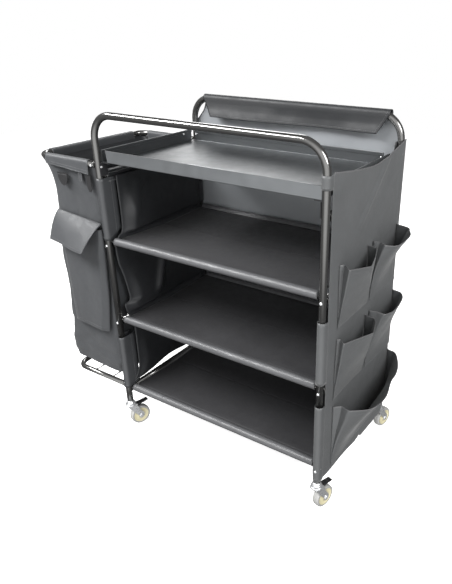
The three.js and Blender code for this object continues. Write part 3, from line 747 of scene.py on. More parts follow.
def shelf_decks():
    for seed, (level, z) in enumerate(SHELVES.items()):
        half = deck_profile(4.0 if level == "top" else 1.5)
        front = [(-SHELF_Y + y, h) for y, h in half]
        rear = [(SHELF_Y - y, h) for y, h in half[1:]]
        section = np.array(front[::-1] + rear)
        x0, x1 = -LEG_X + 24, LEG_X - 17
        xs = np.linspace(x0, x1, 120)
        surface = np.zeros((len(xs), len(section), 3))
        surface[..., 0] = xs[:, None]
        surface[..., 1] = section[None, :, 0]
        surface[..., 2] = section[None, :, 1] + z
        inner = SHELF_Y - TUBE - 8
        on_deck = smoothstep(0, 24, inner - np.abs(surface[..., 1]))
        ends = np.minimum(xs - x0, x1 - xs)[:, None]
        surface[..., 2] += on_deck * rough(surface, 130, 2.4, seed + 1) * smoothstep(0, 60, ends)
        surface[..., 2] += on_deck * rough(surface, 42, 0.7, seed + 5)
        on_rail = 1 - smoothstep(0, 6, inner + 4 - np.abs(surface[..., 1]))
        swell = on_rail * rough(surface * np.array([0.35, 1, 1]), 16, 0.5, seed + 9)
        centre = np.sign(surface[..., 1]) * SHELF_Y
        surface[..., 1] += swell * np.sign(surface[..., 1] - centre)
        surface[..., 2] += swell * 0.5
        deck = cloth(f"{level}_shelf_cloth", surface, DECK_CLOTH, "deck_fabric", 1.4)
        # faces round the rails take the lighter copy: painted light on the cloth over the tubes
        deck.data.materials.append(WRAP_PAINTED_LIGHT)
        columns = len(section) - 1
        for k, face in enumerate(deck.data.polygons):
            column = k % columns
            face.material_index = int(min(column, columns - 1 - column) < 38)
        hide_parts(f"shelf_{level}_deck")


def bound_edge(name, path, up, width=7, thickness=3.0, material=None, slot="panel_fabric", body="root"):
    """Binding tape folded over a cloth edge."""
    return make(name, *sweep(resampled(np.array(path, float), len(path)), flat_tape(width, thickness), up),
                material or OXFORD, slot, body)


def stitches(name, path, outward, slot="panel_fabric", body="root", pitch=6.0, dash=3.6, stand=1.1):
    """A row of sewing stitches along a path on cloth, `stand` out from its middle."""
    path = np.asarray(path, float)
    length = run_length(path)
    count = max(2, int(length / pitch))
    fine = resampled(path, count * 4 + 1)
    lift = unit(np.array(outward, float)) * stand
    parts = []
    for k in range(count):
        a = fine[4 * k] + lift
        b = a + (fine[4 * k + 3] - fine[4 * k]) * dash / (pitch * 0.75)
        mid = (a + b) / 2 + lift * 0.25
        parts.append(sweep([a, mid, b], circle(0.42, 6), outward))
    return make(name, *joined(*parts), THREAD, slot, body)


def right_panel():
    """The large outer panel. It sags along its top and is drawn tight from its rear top
    corner; low down at the rear it bellies out behind the full pockets."""
    low, high = span("right_panel")
    ys = np.linspace(-LEG_Y + TUBE + 3, high.y + 9, 84)
    top = spline([(-240, 0), (-160, -13), (-75, -25), (30, -33), (130, -22), (240, 0)], 200)
    tops = high.z + np.interp(ys, top[:, 0], top[:, 1])
    foot = spline([(-240, 12), (-100, 9), (0, -6), (45, -3), (60, -16), (240, -21)], 200)
    feet = low.z + np.interp(ys, foot[:, 0], foot[:, 1])
    v = np.linspace(0, 1, 170)[:, None]
    z = feet[None, :] * (1 - v) + tops[None, :] * v
    y = np.broadcast_to(ys[None, :], z.shape)
    x = np.full(z.shape, PANEL_X)
    surface = np.stack([x, y, z], axis=2)
    held = smoothstep(0, 40, y - ys[0]) * smoothstep(0, 30, ys[-1] - y)
    bulge = 8 * smoothstep(-60, 190, y) * smoothstep(120, 260, z) * (1 - smoothstep(560, 760, z))
    drawn = crease(y, z, (135, 1072), (-110, 860), 11, 4.5) + crease(y, z, (160, 1030), (-60, 830), 26, -2)
    drawn += crease(y, z, (-190, 1066), (-196, 1015), 5, 1.5)
    soft = rough(surface, 200, 3, 2) + rough(surface, 75, 0.7, 3)
    surface[..., 0] += held * (2 + bulge + drawn + soft)
    panel = cloth("right_side_panel", surface, OXFORD, "panel_fabric")
    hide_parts("right_panel")
    bound_edge("right_panel_top_binding", surface[-1], (0, 0, 1), 2.6, 5, BINDING)
    bound_edge("right_panel_front_binding", surface[:, 0], (0, 1, 0), 2.6, 7)
    bound_edge("right_panel_foot_binding", surface[0], (0, 0, 1), 2.6, 7)
    return surface


def leg_sleeve(name, x, y, side, back, z0, z1, tail, material=None, slope=0.0):
    """A sleeve sewn round a leg: it leaves the panel at x + side, turns round the leg and
    returns. `side` is the panel's side of the leg (1 or -1), `back` the way the panel
    runs, `slope` how much the lower end rises over the tail."""
    wrap = TUBE + 1.4
    line = [(side * (wrap + 0.3), back * tail)]
    line += [(side * (wrap + 0.3), back * t) for t in np.linspace(tail * 0.8, 3, 5)]
    for degrees in range(0, 181, 10):
        a = math.radians(degrees)
        line.append((side * wrap * math.cos(a), -back * wrap * math.sin(a)))
    line += [(-side * wrap * (1 - 0.12 * t), back * tail * t) for t in np.linspace(0.15, 0.9, 5)]
    line = np.array(line)
    levels = np.linspace(0, 1, max(6, int((z1 - z0) / 9)))
    surface = np.zeros((len(levels), len(line), 3))
    surface[..., 0] = x + line[None, :, 0]
    surface[..., 1] = y + line[None, :, 1]
    away = np.clip(line[:, 1] * back / max(tail, 1), 0, 1)
    floor = z0 + slope * away
    surface[..., 2] = floor[None, :] + (z1 - floor[None, :]) * levels[:, None]
    puff = rough(surface, 30, 0.9, z0 / 100)
    surface[..., 0] += np.sign(line[None, :, 0]) * np.abs(puff)
    piece = cloth(name, surface, material or OXFORD, "panel_fabric", 1.4)
    inner = surface[:, -3] - np.array([side * 0.2, 0, 0])
    stitches(f"{name}_stitching", inner, (-side, 0, 0))
    stitches(f"{name}_end_stitching", surface[1, 6:-5], (0, -back, 0), stand=0.9)
    return piece


def right_sleeves():
    bands = [("strap", 1041, 1077), ("upper", 477, 677), ("lower", 122, 400)]
    for name, z0, z1 in bands:
        leg_sleeve(f"front_right_sleeve_{name}", LEG_X, -LEG_Y, 1, 1, z0, z1, 12)
        leg_sleeve(f"rear_right_sleeve_{name}", LEG_X, LEG_Y, 1, -1, z0, z1, 24, OXFORD)


def left_panel():
    """Slack inner panel: sewn round the front leg above, free-edged between the shelves,
    bellied inward above the decks, arched along its foot."""
    low, high = span("left_panel")
    front = spline([(high.z + 4, -183), (790, -183), (757, -205), (733, -222), (671, -219), (628, -206),
                    (566, -193), (517, -188), (505, -214), (430, -190), (400, -183), (300, -183),
                    (240, -186), (low.z, -214)], 400)
    order = np.argsort(front[:, 0])
    zs = np.linspace(low.z, high.z + 2, 150)
    fronts = np.interp(zs, front[order, 0], front[order, 1])
    u = np.linspace(0, 1, 80)
    y = fronts[:, None] * (1 - u) + (LEG_Y - TUBE - 4) * u
    arch = spline([(-240, -12), (-176, 4), (-121, 10), (-35, 22), (66, 12), (160, 4), (240, -4)], 200)
    rise = np.interp(y[0], arch[:, 0], arch[:, 1])
    fade = 1 - smoothstep(low.z, low.z + 200, zs)
    z = zs[:, None] + rise[None, :] * fade[:, None]
    surface = np.stack([np.full(z.shape, LEFT_X), y, z], axis=2)
    held = smoothstep(0, 45, y - fronts[:, None]) * smoothstep(0, 40, LEG_Y - TUBE - 4 - y)
    slack = 0
    for level, height in SHELVES.items():
        push = smoothstep(height + 8, height + 22, z) * (1 - smoothstep(height + 40, height + 190, z))
        share = {"top": 1.0, "middle": 0.8, "bottom": 0.35}[level]
        slack = slack + share * push * (12 + 8 * np.cos((y + 110) / 62) + 3 * np.sin(y / 37))
    soft = rough(surface, 150, 4, 4) + rough(surface, 60, 1.0, 8)
    fold = crease(y, z, (-5, 640), (-75, 480), 16, 14) + crease(y, z, (-90, 940), (-150, 790), 22, 6)
    surface[..., 0] += np.maximum(held * (slack + fold + soft + 2), -1)
    # the left panel takes the shaded copy of the coating: painted shade
    panel = cloth("left_side_panel", surface, COATING_SHADED, "panel_fabric")
    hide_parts("left_panel")
    # the bindings take the lighter copy: painted light along the edges
    bound_edge("left_panel_front_binding", surface[:, 0], (0, 1, 0), 2.4, 3, SLEEVE_PAINTED_LIGHT)
    bound_edge("left_panel_foot_binding", surface[0], (0, 0, 1), 2.4, 4, SLEEVE_PAINTED_LIGHT)
    # sleeve round the upper side rail
    wrap = TUBE + 1.4
    section = [(wrap * math.cos(a), wrap * math.sin(a)) for a in np.linspace(-1.2, 4.2, 30)]
    section = [(wrap * 0.98, -22), *section, (-wrap * 0.7, -22)]
    ys = np.linspace(-LEG_Y + 22, LEG_Y - 22, 60)
    sleeve = np.array([[(-LEG_X + a, y, UPPER_RAIL + b) for a, b in section] for y in ys], float)
    sleeve[..., 2] += rough(sleeve, 40, 0.8, 6)
    # the rail sleeve takes the shaded copy too: painted shade
    band = cloth("left_panel_rail_sleeve", sleeve, COATING_SHADED, "panel_fabric", 1.4)
    bound_edge("rail_sleeve_hem", sleeve[:, 0], (0, 0, 1), 1.8, 2.4, BINDING)
    bound_edge("rail_sleeve_end", sleeve[0], (0, 1, 0), 1.8, 2.4, BINDING)
    seam = np.array([(-LEG_X + wrap + 0.9, y, UPPER_RAIL + 4) for y in ys])
    stitches("rail_sleeve_stitching", seam, (1, 0, 0))
    # the sleeves take the lighter copy of the cloth: painted light
    leg_sleeve("front_left_sleeve_upper", -LEG_X, -LEG_Y, -1, 1, 755, high.z + 2, 55, SLEEVE_PAINTED_LIGHT, 32)
    leg_sleeve("front_left_sleeve_lower", -LEG_X, -LEG_Y, -1, 1, 176, 388, 55, SLEEVE_PAINTED_LIGHT, 10)
    leg_sleeve("rear_left_sleeve_upper", -LEG_X, LEG_Y, -1, -1, 769, 849, 40, SLEEVE_PAINTED_LIGHT)
    leg_sleeve("rear_left_sleeve_lower", -LEG_X, LEG_Y, -1, -1, 130, 388, 40, SLEEVE_PAINTED_LIGHT)


def back_panel():
    """Hangs behind the rear legs from the top bar, with its upper corners cut away."""
    low, high = span("back_panel")
    edge = spline([(low.z, LEG_X + 4), (900, LEG_X + 5), (1040, LEG_X + 3), (1090, 392), (1125, 376),
                   (high.z, 352)], 300)
    other = spline([(low.z, -LEG_X - 4), (900, -LEG_X - 3), (1030, -LEG_X - 3), (1066, -LEG_X), (1088, -384),
                    (1112, -364), (high.z, -350)], 300)
    zs = np.linspace(low.z, high.z, 140)
    rights, lefts = np.interp(zs, edge[:, 0], edge[:, 1]), np.interp(zs, other[:, 0], other[:, 1])
    u = np.linspace(0, 1, 130)
    x = lefts[:, None] * (1 - u) + rights[:, None] * u
    z = np.broadcast_to(zs[:, None], x.shape)
    surface = np.stack([x, np.full(x.shape, BACK_Y), z], axis=2)
    open_span = 1 - smoothstep(LEG_X - 60, LEG_X - 10, np.abs(x))
    hung = open_span * (1 - smoothstep(high.z - 60, high.z, z))
    surface[..., 1] += hung * (rough(surface, 240, 5, 11) + rough(surface, 90, 1, 12))
    # the rear panel takes the lit copy of the coating: painted light
    panel = cloth("rear_panel", surface, COATING_LIT, "panel_fabric")
    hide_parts("back_panel")
    bound_edge("rear_panel_left_binding", surface[:, 0], (1, 0, 0), 2.8, 5)
    bound_edge("rear_panel_right_binding", surface[:, -1], (1, 0, 0), 2.8, 7)
    bound_edge("rear_panel_foot_binding", surface[0], (0, 0, 1), 2.6, 7)


def back_flap():
    """The panel's top edge folded forward over the rear bar. Both ends are cut on a slant."""
    low, high = span("back_panel_flap")
    wrap = TUBE + 1.6
    section = [(LEG_Y + wrap, HANDLE - 4)]
    section += [(LEG_Y + wrap * math.cos(a), HANDLE + wrap * math.sin(a))
                for a in np.linspace(0, math.pi, 16)]
    bottom = low.z
    hang = [(LEG_Y - wrap - 1, HANDLE - 14), (LEG_Y - wrap - 4, HANDLE - 34), (LEG_Y - wrap - 9, bottom)]
    section = np.array(section + hang)
    section = resampled(section, 44)
    down = smoothstep(HANDLE, bottom, section[:, 1]) * (section[:, 0] < LEG_Y)
    cut = np.clip((HANDLE - section[:, 1]) / (HANDLE - bottom), 0, 1) * (section[:, 0] < LEG_Y)
    u = np.linspace(0, 1, 140)[:, None]
    left, right = low.x + 4 + 36 * cut, high.x - 3 - 35 * cut
    x = left[None, :] * (1 - u) + right[None, :] * u
    surface = np.stack([x, np.broadcast_to(section[None, :, 0], x.shape),
                        np.broadcast_to(section[None, :, 1], x.shape)], axis=2).copy()
    wave = 5 * np.sin(x / 140 + 0.6) + 1.5 * np.sin(x / 60) + 3 * np.sin(np.pi * down ** 0.55)[None, :]
    surface[..., 1] += down[None, :] * (wave + rough(surface, 60, 2.5, 21))
    surface[..., 2] += down[None, :] * 1.2 * np.sin(x / 120)
    # the flap and its binding take the darker copy: painted shade
    flap = cloth("rear_flap", surface, FLAP_PAINTED_SHADE, "panel_fabric", 1.8)
    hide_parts("back_panel_flap")
    bound_edge("rear_flap_binding", surface[:, -1], (0, 0, 1), 2.8, 4, FLAP_PAINTED_SHADE)
    stitches("rear_flap_stitching", surface[:, -3], (0, -1, 0), stand=1.3)
    stitches("rear_flap_end_stitching", surface[-3, 14:], (0, -1, 0), stand=1.3)


# ---- Pockets ----
def pocket(name, node, panel, mouth, power, round_from):
    """An open-topped pocket cut as a wedge: its mouth stands out on two folded gussets and
    its foot is sewn flat to the panel. mouth is a list of corners, left to right: how far
    each stands out, how far along from the pocket's left side, and how far it droops.
    power above 1 makes the front hollow, and corners from round_from on are soft."""
    low, high = span(node)
    wide = high.y - low.y
    corners = np.array(mouth, float)
    share = np.clip((corners[:, 1] - corners[2, 1]) / (corners[-1, 1] - corners[2, 1]), 0, 1)
    foot_along = np.where(np.arange(len(corners)) < 3, 0.0, 1.0)
    if round_from < 4:
        foot_along = np.clip(share * 1.05, 0, 1)
        foot_along[:3] = 0
    crisp = rounded_line(corners[:round_from + 1], 3.0)
    soft = spline(corners[round_from:], 40)
    line = np.concatenate([crisp, soft[1:]])
    lengths = np.concatenate([[0], np.cumsum(np.linalg.norm(np.diff(line[:, :2], axis=0), axis=1))])
    marks = [int(np.argmin(np.linalg.norm(line - c, axis=1))) for c in corners]
    feet = np.interp(lengths, lengths[marks], foot_along)
    v = np.linspace(0, 1, 56)[:, None]
    out = line[None, :, 0] * (1 - v) ** power
    along = line[None, :, 1] * (1 - v) + np.clip(feet * wide, 1.5, wide - 1.5)[None, :] * v
    y = low.y + along
    z = (high.z - line[None, :, 2]) * (1 - v) + low.z * v
    surface = np.stack([panel_at(panel, y, z) + 2.4 + out, y, z], axis=2)
    middle_share = (smoothstep(0, 0.12, v) * (1 - smoothstep(0.85, 1, v))) * np.clip(out / 12, 0, 1)
    surface[..., 0] += middle_share * (rough(surface, 70, 2.2, y[0, 0]) + rough(surface, 26, 0.5, z[0, 0]))
    piece = cloth(f"{name}_cloth", surface, OXFORD, "panel_fabric")
    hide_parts(node)
    bound_edge(f"{name}_mouth_binding", surface[0], (0, 0, 1), 2.2, 3.0, BINDING)
    first, last = marks[2] + 2, marks[-2]
    stitches(f"{name}_mouth_stitching", surface[4, first:last], (1, -0.3, 0), stand=1.2)
    seam = surface[-1] + np.array([0.6, 0, 0])
    bound_edge(f"{name}_foot_seam", seam, (0, 0, 1), 1.6, 4, OXFORD)


def rounded_line(corners, radius):
    """Straight runs between corners with small rounds, closely spaced along each run."""
    path = rounded(corners, radius, 5)
    fine = [path[0]]
    for a, b in zip(path, path[1:]):
        steps = max(1, int(np.linalg.norm(b - a) / 5))
        fine += [a + (b - a) * k / steps for k in range(1, steps + 1)]
    return np.array(fine)


def panel_at(panel, y, z):
    """The right panel's x at points of its surface."""
    ys, zs = panel[0, :, 1], panel[:, 40, 2]
    i = np.clip(np.searchsorted(zs, z), 1, len(zs) - 1)
    j = np.clip(np.searchsorted(ys, y), 1, len(ys) - 1)
    return np.maximum(panel[i, j, 0], panel[i - 1, j - 1, 0])


def pockets(panel):
    pocket("upper_front_pocket", "pocket_upper_front", panel,
           [(0, 1, 0), (9, 11, 0), (35, -9, 2), (61, 72, 14), (50, 122, 4), (31, 172, 0), (1, 177, 0)],
           1.0, 6)
    pocket("upper_rear_pocket", "pocket_upper_rear", panel,
           [(0, 1, 0), (20, 6, 0), (40, -3, 3), (66, 34, 10), (77, 98, 0), (60, 140, -3), (45, 170, 0),
            (0, 186, 0), (-1.4, 206, 0)],
           1.7, 2)
    pocket("middle_front_pocket", "pocket_middle_front", panel,
           [(0, 1, 0), (8, 11, 0), (25, -6, 2), (67, 104, 6), (50, 156, 0), (36, 176, 0), (1, 183, 0)],
           1.0, 6)
    pocket("middle_rear_pocket", "pocket_middle_rear", panel,
           [(0, 1, 0), (24, 7, 0), (50, 8, 3), (60, 52, 6), (56, 124, 0), (34, 172, 0), (0, 184, 0),
            (-1.4, 206, 0)], 1.6, 2)
    pocket("lower_wide_pocket", "pocket_lower_wide", panel,
           [(0, 1, 0), (21, 19, 0), (48, 12, 2), (98, 58, 4), (112, 134, 4), (92, 220, 0), (86, 268, 0),
            (68, 326, 0), (33, 388, 0), (0, 397, 0), (-1.4, 419, 0)], 1.5, 2)


# ---- Laundry bag ----
def laundry_bag():
    """A tall bag, wide at its rim, waisted, and full at the foot, with soft corners."""
    inner_x = high_mm("laundry_bag").x
    top = high_mm("laundry_bag").z
    side = [(top, RIM_X + 3), (963, RIM_X + 27), (916, RIM_X + 37), (850, RIM_X + 37), (745, RIM_X + 27),
            (640, RIM_X + 19), (520, RIM_X + 20), (414, RIM_X + 13), (396, RIM_X + 20), (340, RIM_X + 10),
            (275, RIM_X + 1), (246, RIM_X), (BAG_FOOT, RIM_X + 7)]
    zs = np.linspace(top, BAG_FOOT, 150)
    outer = traced(side, 400, zs)
    corner, around = 20, 240
    rows = []
    for z, x0 in zip(zs, outer):
        shrink = 4 * smoothstep(BAG_FOOT + 60, BAG_FOOT, z)
        x1, y1 = inner_x - 2 - shrink, LEG_Y - 1 - shrink
        path = rounded([((x0 + x1) / 2, -y1, z), (x0, -y1, z), (x0, y1, z), (x1, y1, z), (x1, -y1, z),
                        ((x0 + x1) / 2, -y1, z)], corner, 8)
        rows.append(resampled(path, around + 1)[:-1])
    surface = np.array(rows)
    centre = np.array([(RIM_X + inner_x) / 2, 0, 0])
    out = unit((surface - centre) * np.array([1, 1, 0]))
    free = smoothstep(top, top - 90, surface[..., 2])
    folds = rough(surface * np.array([1, 1, 0.45]), 80, 6, 31) + rough(surface, 34, 1.4, 32)
    low_folds = smoothstep(400, 320, surface[..., 2]) * rough(surface * np.array([1, 1, 1.8]), 60, 5, 33)
    low_folds *= smoothstep(BAG_FOOT + 8, BAG_FOOT + 40, surface[..., 2])
    surface += out * (free * folds + low_folds - 3 * free)[..., None]
    sag = smoothstep(BAG_FOOT + 60, BAG_FOOT, surface[..., 2])
    surface[..., 2] += sag * 8 * smoothstep(RIM_X + 190, RIM_X, surface[..., 0])
    floor = surface[-1].mean(axis=0)
    floor[2] -= 6
    rings = [surface[-1] * (1 - t) + floor * t for t in (0.12, 0.3, 0.55, 0.8)]
    rings = [ring - np.array([0, 0, 3 * t]) for ring, t in zip(rings, (0.5, 0.8, 1, 1))]
    whole = np.concatenate([surface, np.array(rings)])
    n, m = whole.shape[:2]
    points = np.concatenate([whole.reshape(-1, 3), floor[None]])
    faces = grid_faces(n, m, False, True)
    last = (n - 1) * m
    faces += [(last + j, last + (j + 1) % m, n * m) for j in range(m)]
    bag = make("laundry_bag_cloth", points, faces, BAG_CLOTH, "bag_fabric")
    # the bag's inside faces take the shaded copy of the coating: painted shade
    bag.data.materials.append(COATING_SHADED)
    solid = bag.modifiers.new("thickness", "SOLIDIFY")
    solid.thickness = 1.6 * MM
    solid.offset = -1
    solid.material_offset = 1
    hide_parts("laundry_bag")


def rim_sleeve(name, run, outward, inside, hangs, z_inside=30):
    """The bag's edge folded out over one bar of the rim and hanging loose outside it, by
    hangs[0] below the bar's centre where it starts and hangs[1] where it ends."""
    wrap = RIM_TUBE + 1.4
    section = [(-wrap + 0.3, -z_inside), (-wrap, -10)]
    section += [(-wrap * math.cos(a), wrap * math.sin(a)) for a in np.linspace(0, math.pi, 14)]
    section += [(wrap + 0.4, -0.35), (wrap + 1.2, -0.75), (wrap + 1.6, -1.0)]
    section = np.array(section, float)
    a, b = np.array(run[0], float), np.array(run[1], float)
    outward = np.array(outward, float)
    rows = []
    for t in np.linspace(0, 1, int(np.linalg.norm(b - a) / 6)):
        hang = hangs[0] + (hangs[1] - hangs[0]) * t
        line = section.copy()
        line[-3:, 1] *= hang
        line = resampled(line, 40)
        rows.append([a + (b - a) * t + outward * p + np.array([0, 0, h]) for p, h in line])
    surface = np.array(rows)
    loose = np.linspace(0, 1, 40) ** 3
    wrinkles = rough(surface, 45, 3, inside) + rough(surface, 18, 0.6, 3)
    surface += (loose[None, :] * wrinkles)[..., None] * outward
    surface[..., 2] += loose[None, :] * rough(surface, 60, 2, inside + 3)
    surface[..., 2] += rough(surface, 30, 0.5, inside + 5)
    piece = cloth(name, surface, BAG_CLOTH, "bag_fabric")
    bound_edge(f"{name}_hem", surface[:, -1], (0, 0, 1), 2.4, 3.5, BAG_CLOTH, "bag_fabric")
    stitches(f"{name}_stitching", surface[:, -5], outward, "bag_fabric", stand=1.3)


def rim_sleeves():
    rim_sleeve("rim_sleeve_front", ((-638, -LEG_Y, RIM), (-437, -LEG_Y, RIM)), (0, -1, 0), 1, (19, 33))
    rim_sleeve("rim_sleeve_rear", ((-638, LEG_Y, RIM), (-437, LEG_Y, RIM)), (0, 1, 0), 2, (22, 32))
    rim_sleeve("rim_sleeve_outer", ((RIM_X, -190, RIM), (RIM_X, 190, RIM)), (-1, 0, 0), 3, (20, 20))


def bag_pocket():
    """Patch pocket on the bag's front, standing off it towards the right, with a gusset."""
    low, high = span("bag_pocket")
    zs = np.linspace(high.z, low.z, 70)
    rights = traced([(high.z + 2, -425), (717, -428), (605, -441), (526, -452), (low.z, -480)], 200, zs)
    left = low.x + 2
    u = np.linspace(0, 1, 50)
    share = (zs - low.z) / (high.z - low.z)
    # the mouth lies back under the flap
    stand = (7 + 10 * share) * (1 - 0.62 * smoothstep(0.76, 1, share))
    rows = []
    for z, edge, out, gusset in zip(zs, rights, stand, 16 * (1 - share)):
        y_bag = -LEG_Y - 4
        front = [(left, y_bag), (left + 2, y_bag - out * 0.5), (left + 14, y_bag - out)]
        front += [(left + 60, y_bag - out - 2), (edge - 40, y_bag - out - 4), (edge, y_bag - out - 5)]
        back = [(edge + 8 + gusset, y_bag - out * 0.4), (edge + 5 + gusset * 1.4, y_bag + 1)]
        line = resampled(np.array(front + back), len(u))
        rows.append([(x, y, z) for x, y in line])
    surface = np.array(rows, float)
    mid = np.sin(np.pi * u)[None, :]
    wrinkles = rough(surface * np.array([1, 1, 0.5]), 75, 3.5, 41) + rough(surface, 30, 0.8, 42)
    surface[..., 1] -= mid * wrinkles
    surface[..., 2] += np.interp(surface[..., 0], [left, -423], [4, -4]) * (1 - share)[:, None]
    piece = cloth("bag_front_pocket", surface, BAG_CLOTH, "bag_fabric")
    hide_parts("bag_pocket")
    bound_edge("bag_pocket_mouth_binding", surface[0], (0, 0, 1), 2.4, 5, BAG_CLOTH, "bag_fabric")
    bound_edge("bag_pocket_foot_binding", surface[-1], (0, 0, 1), 2.4, 5, BAG_CLOTH, "bag_fabric")
    stitches("bag_pocket_stitching", surface[:, 6], (0, -1, 0), "bag_fabric", stand=1.4)
    stitches("bag_pocket_foot_stitching", surface[-3, 4:-8], (0, -1, 0), "bag_fabric", stand=1.4)


def bag_flap():
    """The flap over the bag pocket. It stands out more at its right end than at its left."""
    _, seam = joint("bag_flap_lift")
    low, high = span("bag_pocket_flap")
    seam_left = np.array([low.x + 8, seam.y - 1, seam.z + 3])
    seam_right = np.array([high.x - 4, seam.y - 1, seam.z - 16])
    hem_left = seam_left + np.array([-21, -40, -100])
    hem_right = seam_right + np.array([-20, -80, -83])
    u = np.linspace(0, 1, 60)[:, None, None]
    v = np.linspace(0, 1, 34)[None, :, None]
    top = seam_left * (1 - u) + seam_right * u
    bottom = hem_left * (1 - u) + hem_right * u
    surface = top * (1 - v) + bottom * v
    swell = 8 * np.sin(np.pi * v ** 0.8)
    surface += swell * np.array([0, -0.8, 0.55])
    surface[..., 2] += (2 * np.sin(u * 7) * v)[..., 0]
    surface[..., 1] -= v[..., 0] * rough(surface, 60, 3, 51)
    flap = cloth("bag_flap_cloth", surface, BAG_CLOTH, "bag_fabric", 1.8, "bag_flap")
    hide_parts("bag_pocket_flap")
    for label, path in (("hem", surface[:, -1]), ("right_hem", surface[-1]), ("left_hem", surface[0])):
        bound_edge(f"bag_flap_{label}", path, (0, 0, 1), 2.6, 3.5, BAG_CLOTH, "bag_fabric", "bag_flap")
    facing = (0, -0.85, 0.5)
    stitches("bag_flap_hem_stitching", surface[2:-2, -3], facing, "bag_fabric", "bag_flap", stand=1.4)
    stitches("bag_flap_side_stitching", surface[-3, 2:-2], facing, "bag_fabric", "bag_flap", stand=1.4)
    stitches("bag_flap_seam_stitching", surface[2:-2, 2], facing, "bag_fabric", "bag_flap", stand=1.4)


def bag_fittings():
    """Webbing on the bag's front below the rim: a rounded tab, a long loop beside the leg,
    and a patch sewn with a crossed box."""
    face = -LEG_Y - 7
    tab = [(-592, 958), (-544, 958), (-546, 936), (-556, 920), (-568, 914), (-581, 920), (-590, 936)]
    webbing_plate("bag_tab", tab, face)
    loop = [(-453, 964), (-434, 964), (-432, 925), (-438, 911), (-447, 911), (-453, 925)]
    webbing_plate("bag_loop", loop, face - 1)
    patch = [(-492, 970), (-474, 970), (-474, 938), (-492, 938)]
    webbing_plate("bag_patch", patch, face + 1, BAG_CLOTH)
    box = np.array([(-489, face - 1.5, 967), (-477, face - 1.5, 967), (-477, face - 1.5, 941),
                    (-489, face - 1.5, 941), (-489, face - 1.5, 967), (-477, face - 1.5, 941)])
    stitches("bag_patch_stitching", box, (0, -1, 0), "bag_fabric", pitch=4.0, dash=2.6, stand=0.2)
    stitches("bag_tab_stitching", [(-588, face - 2, 952), (-548, face - 2, 952)], (0, -1, 0), "bag_fabric",
             stand=0.2)


def webbing_plate(name, outline, y, material=None, thickness=2.2):
    ring = np.array(rounded_line([*outline, outline[0]], 2.0))[:-1]
    n = len(ring)
    layers = [np.stack([ring[:, 0], np.full(n, y - k * thickness), ring[:, 1]], axis=1) for k in (0, 1)]
    faces = grid_faces(2, n, False, True) + [tuple(range(n)), tuple(range(n, 2 * n))[::-1]]
    return make(name, np.concatenate(layers), faces, material or WEBBING, "bag_fabric", smooth=False)


# ---- Casters ----
PEDAL_PRESSED = {"front_left": 0, "front_right": 14}
CASTERS = {"fl": "front_left", "fr": "front_right", "rl": "rear_left", "rr": "rear_right"}


def local_frame(roll):
    """The wheel's centre, its axle, and the direction the wheel trails in."""
    spin, centre = joint(roll)
    axle = Vector(spin["axis"])
    ahead = axle.cross(Vector((0, 0, 1)))
    return centre, axle, ahead


def to_cart(points, place, ahead, axle):
    p = np.asarray(points, float)
    return (np.array(place) + p[:, :1] * np.array(ahead) + p[:, 1:2] * np.array(axle)
            + p[:, 2:] * np.array([0, 0, 1.0]))


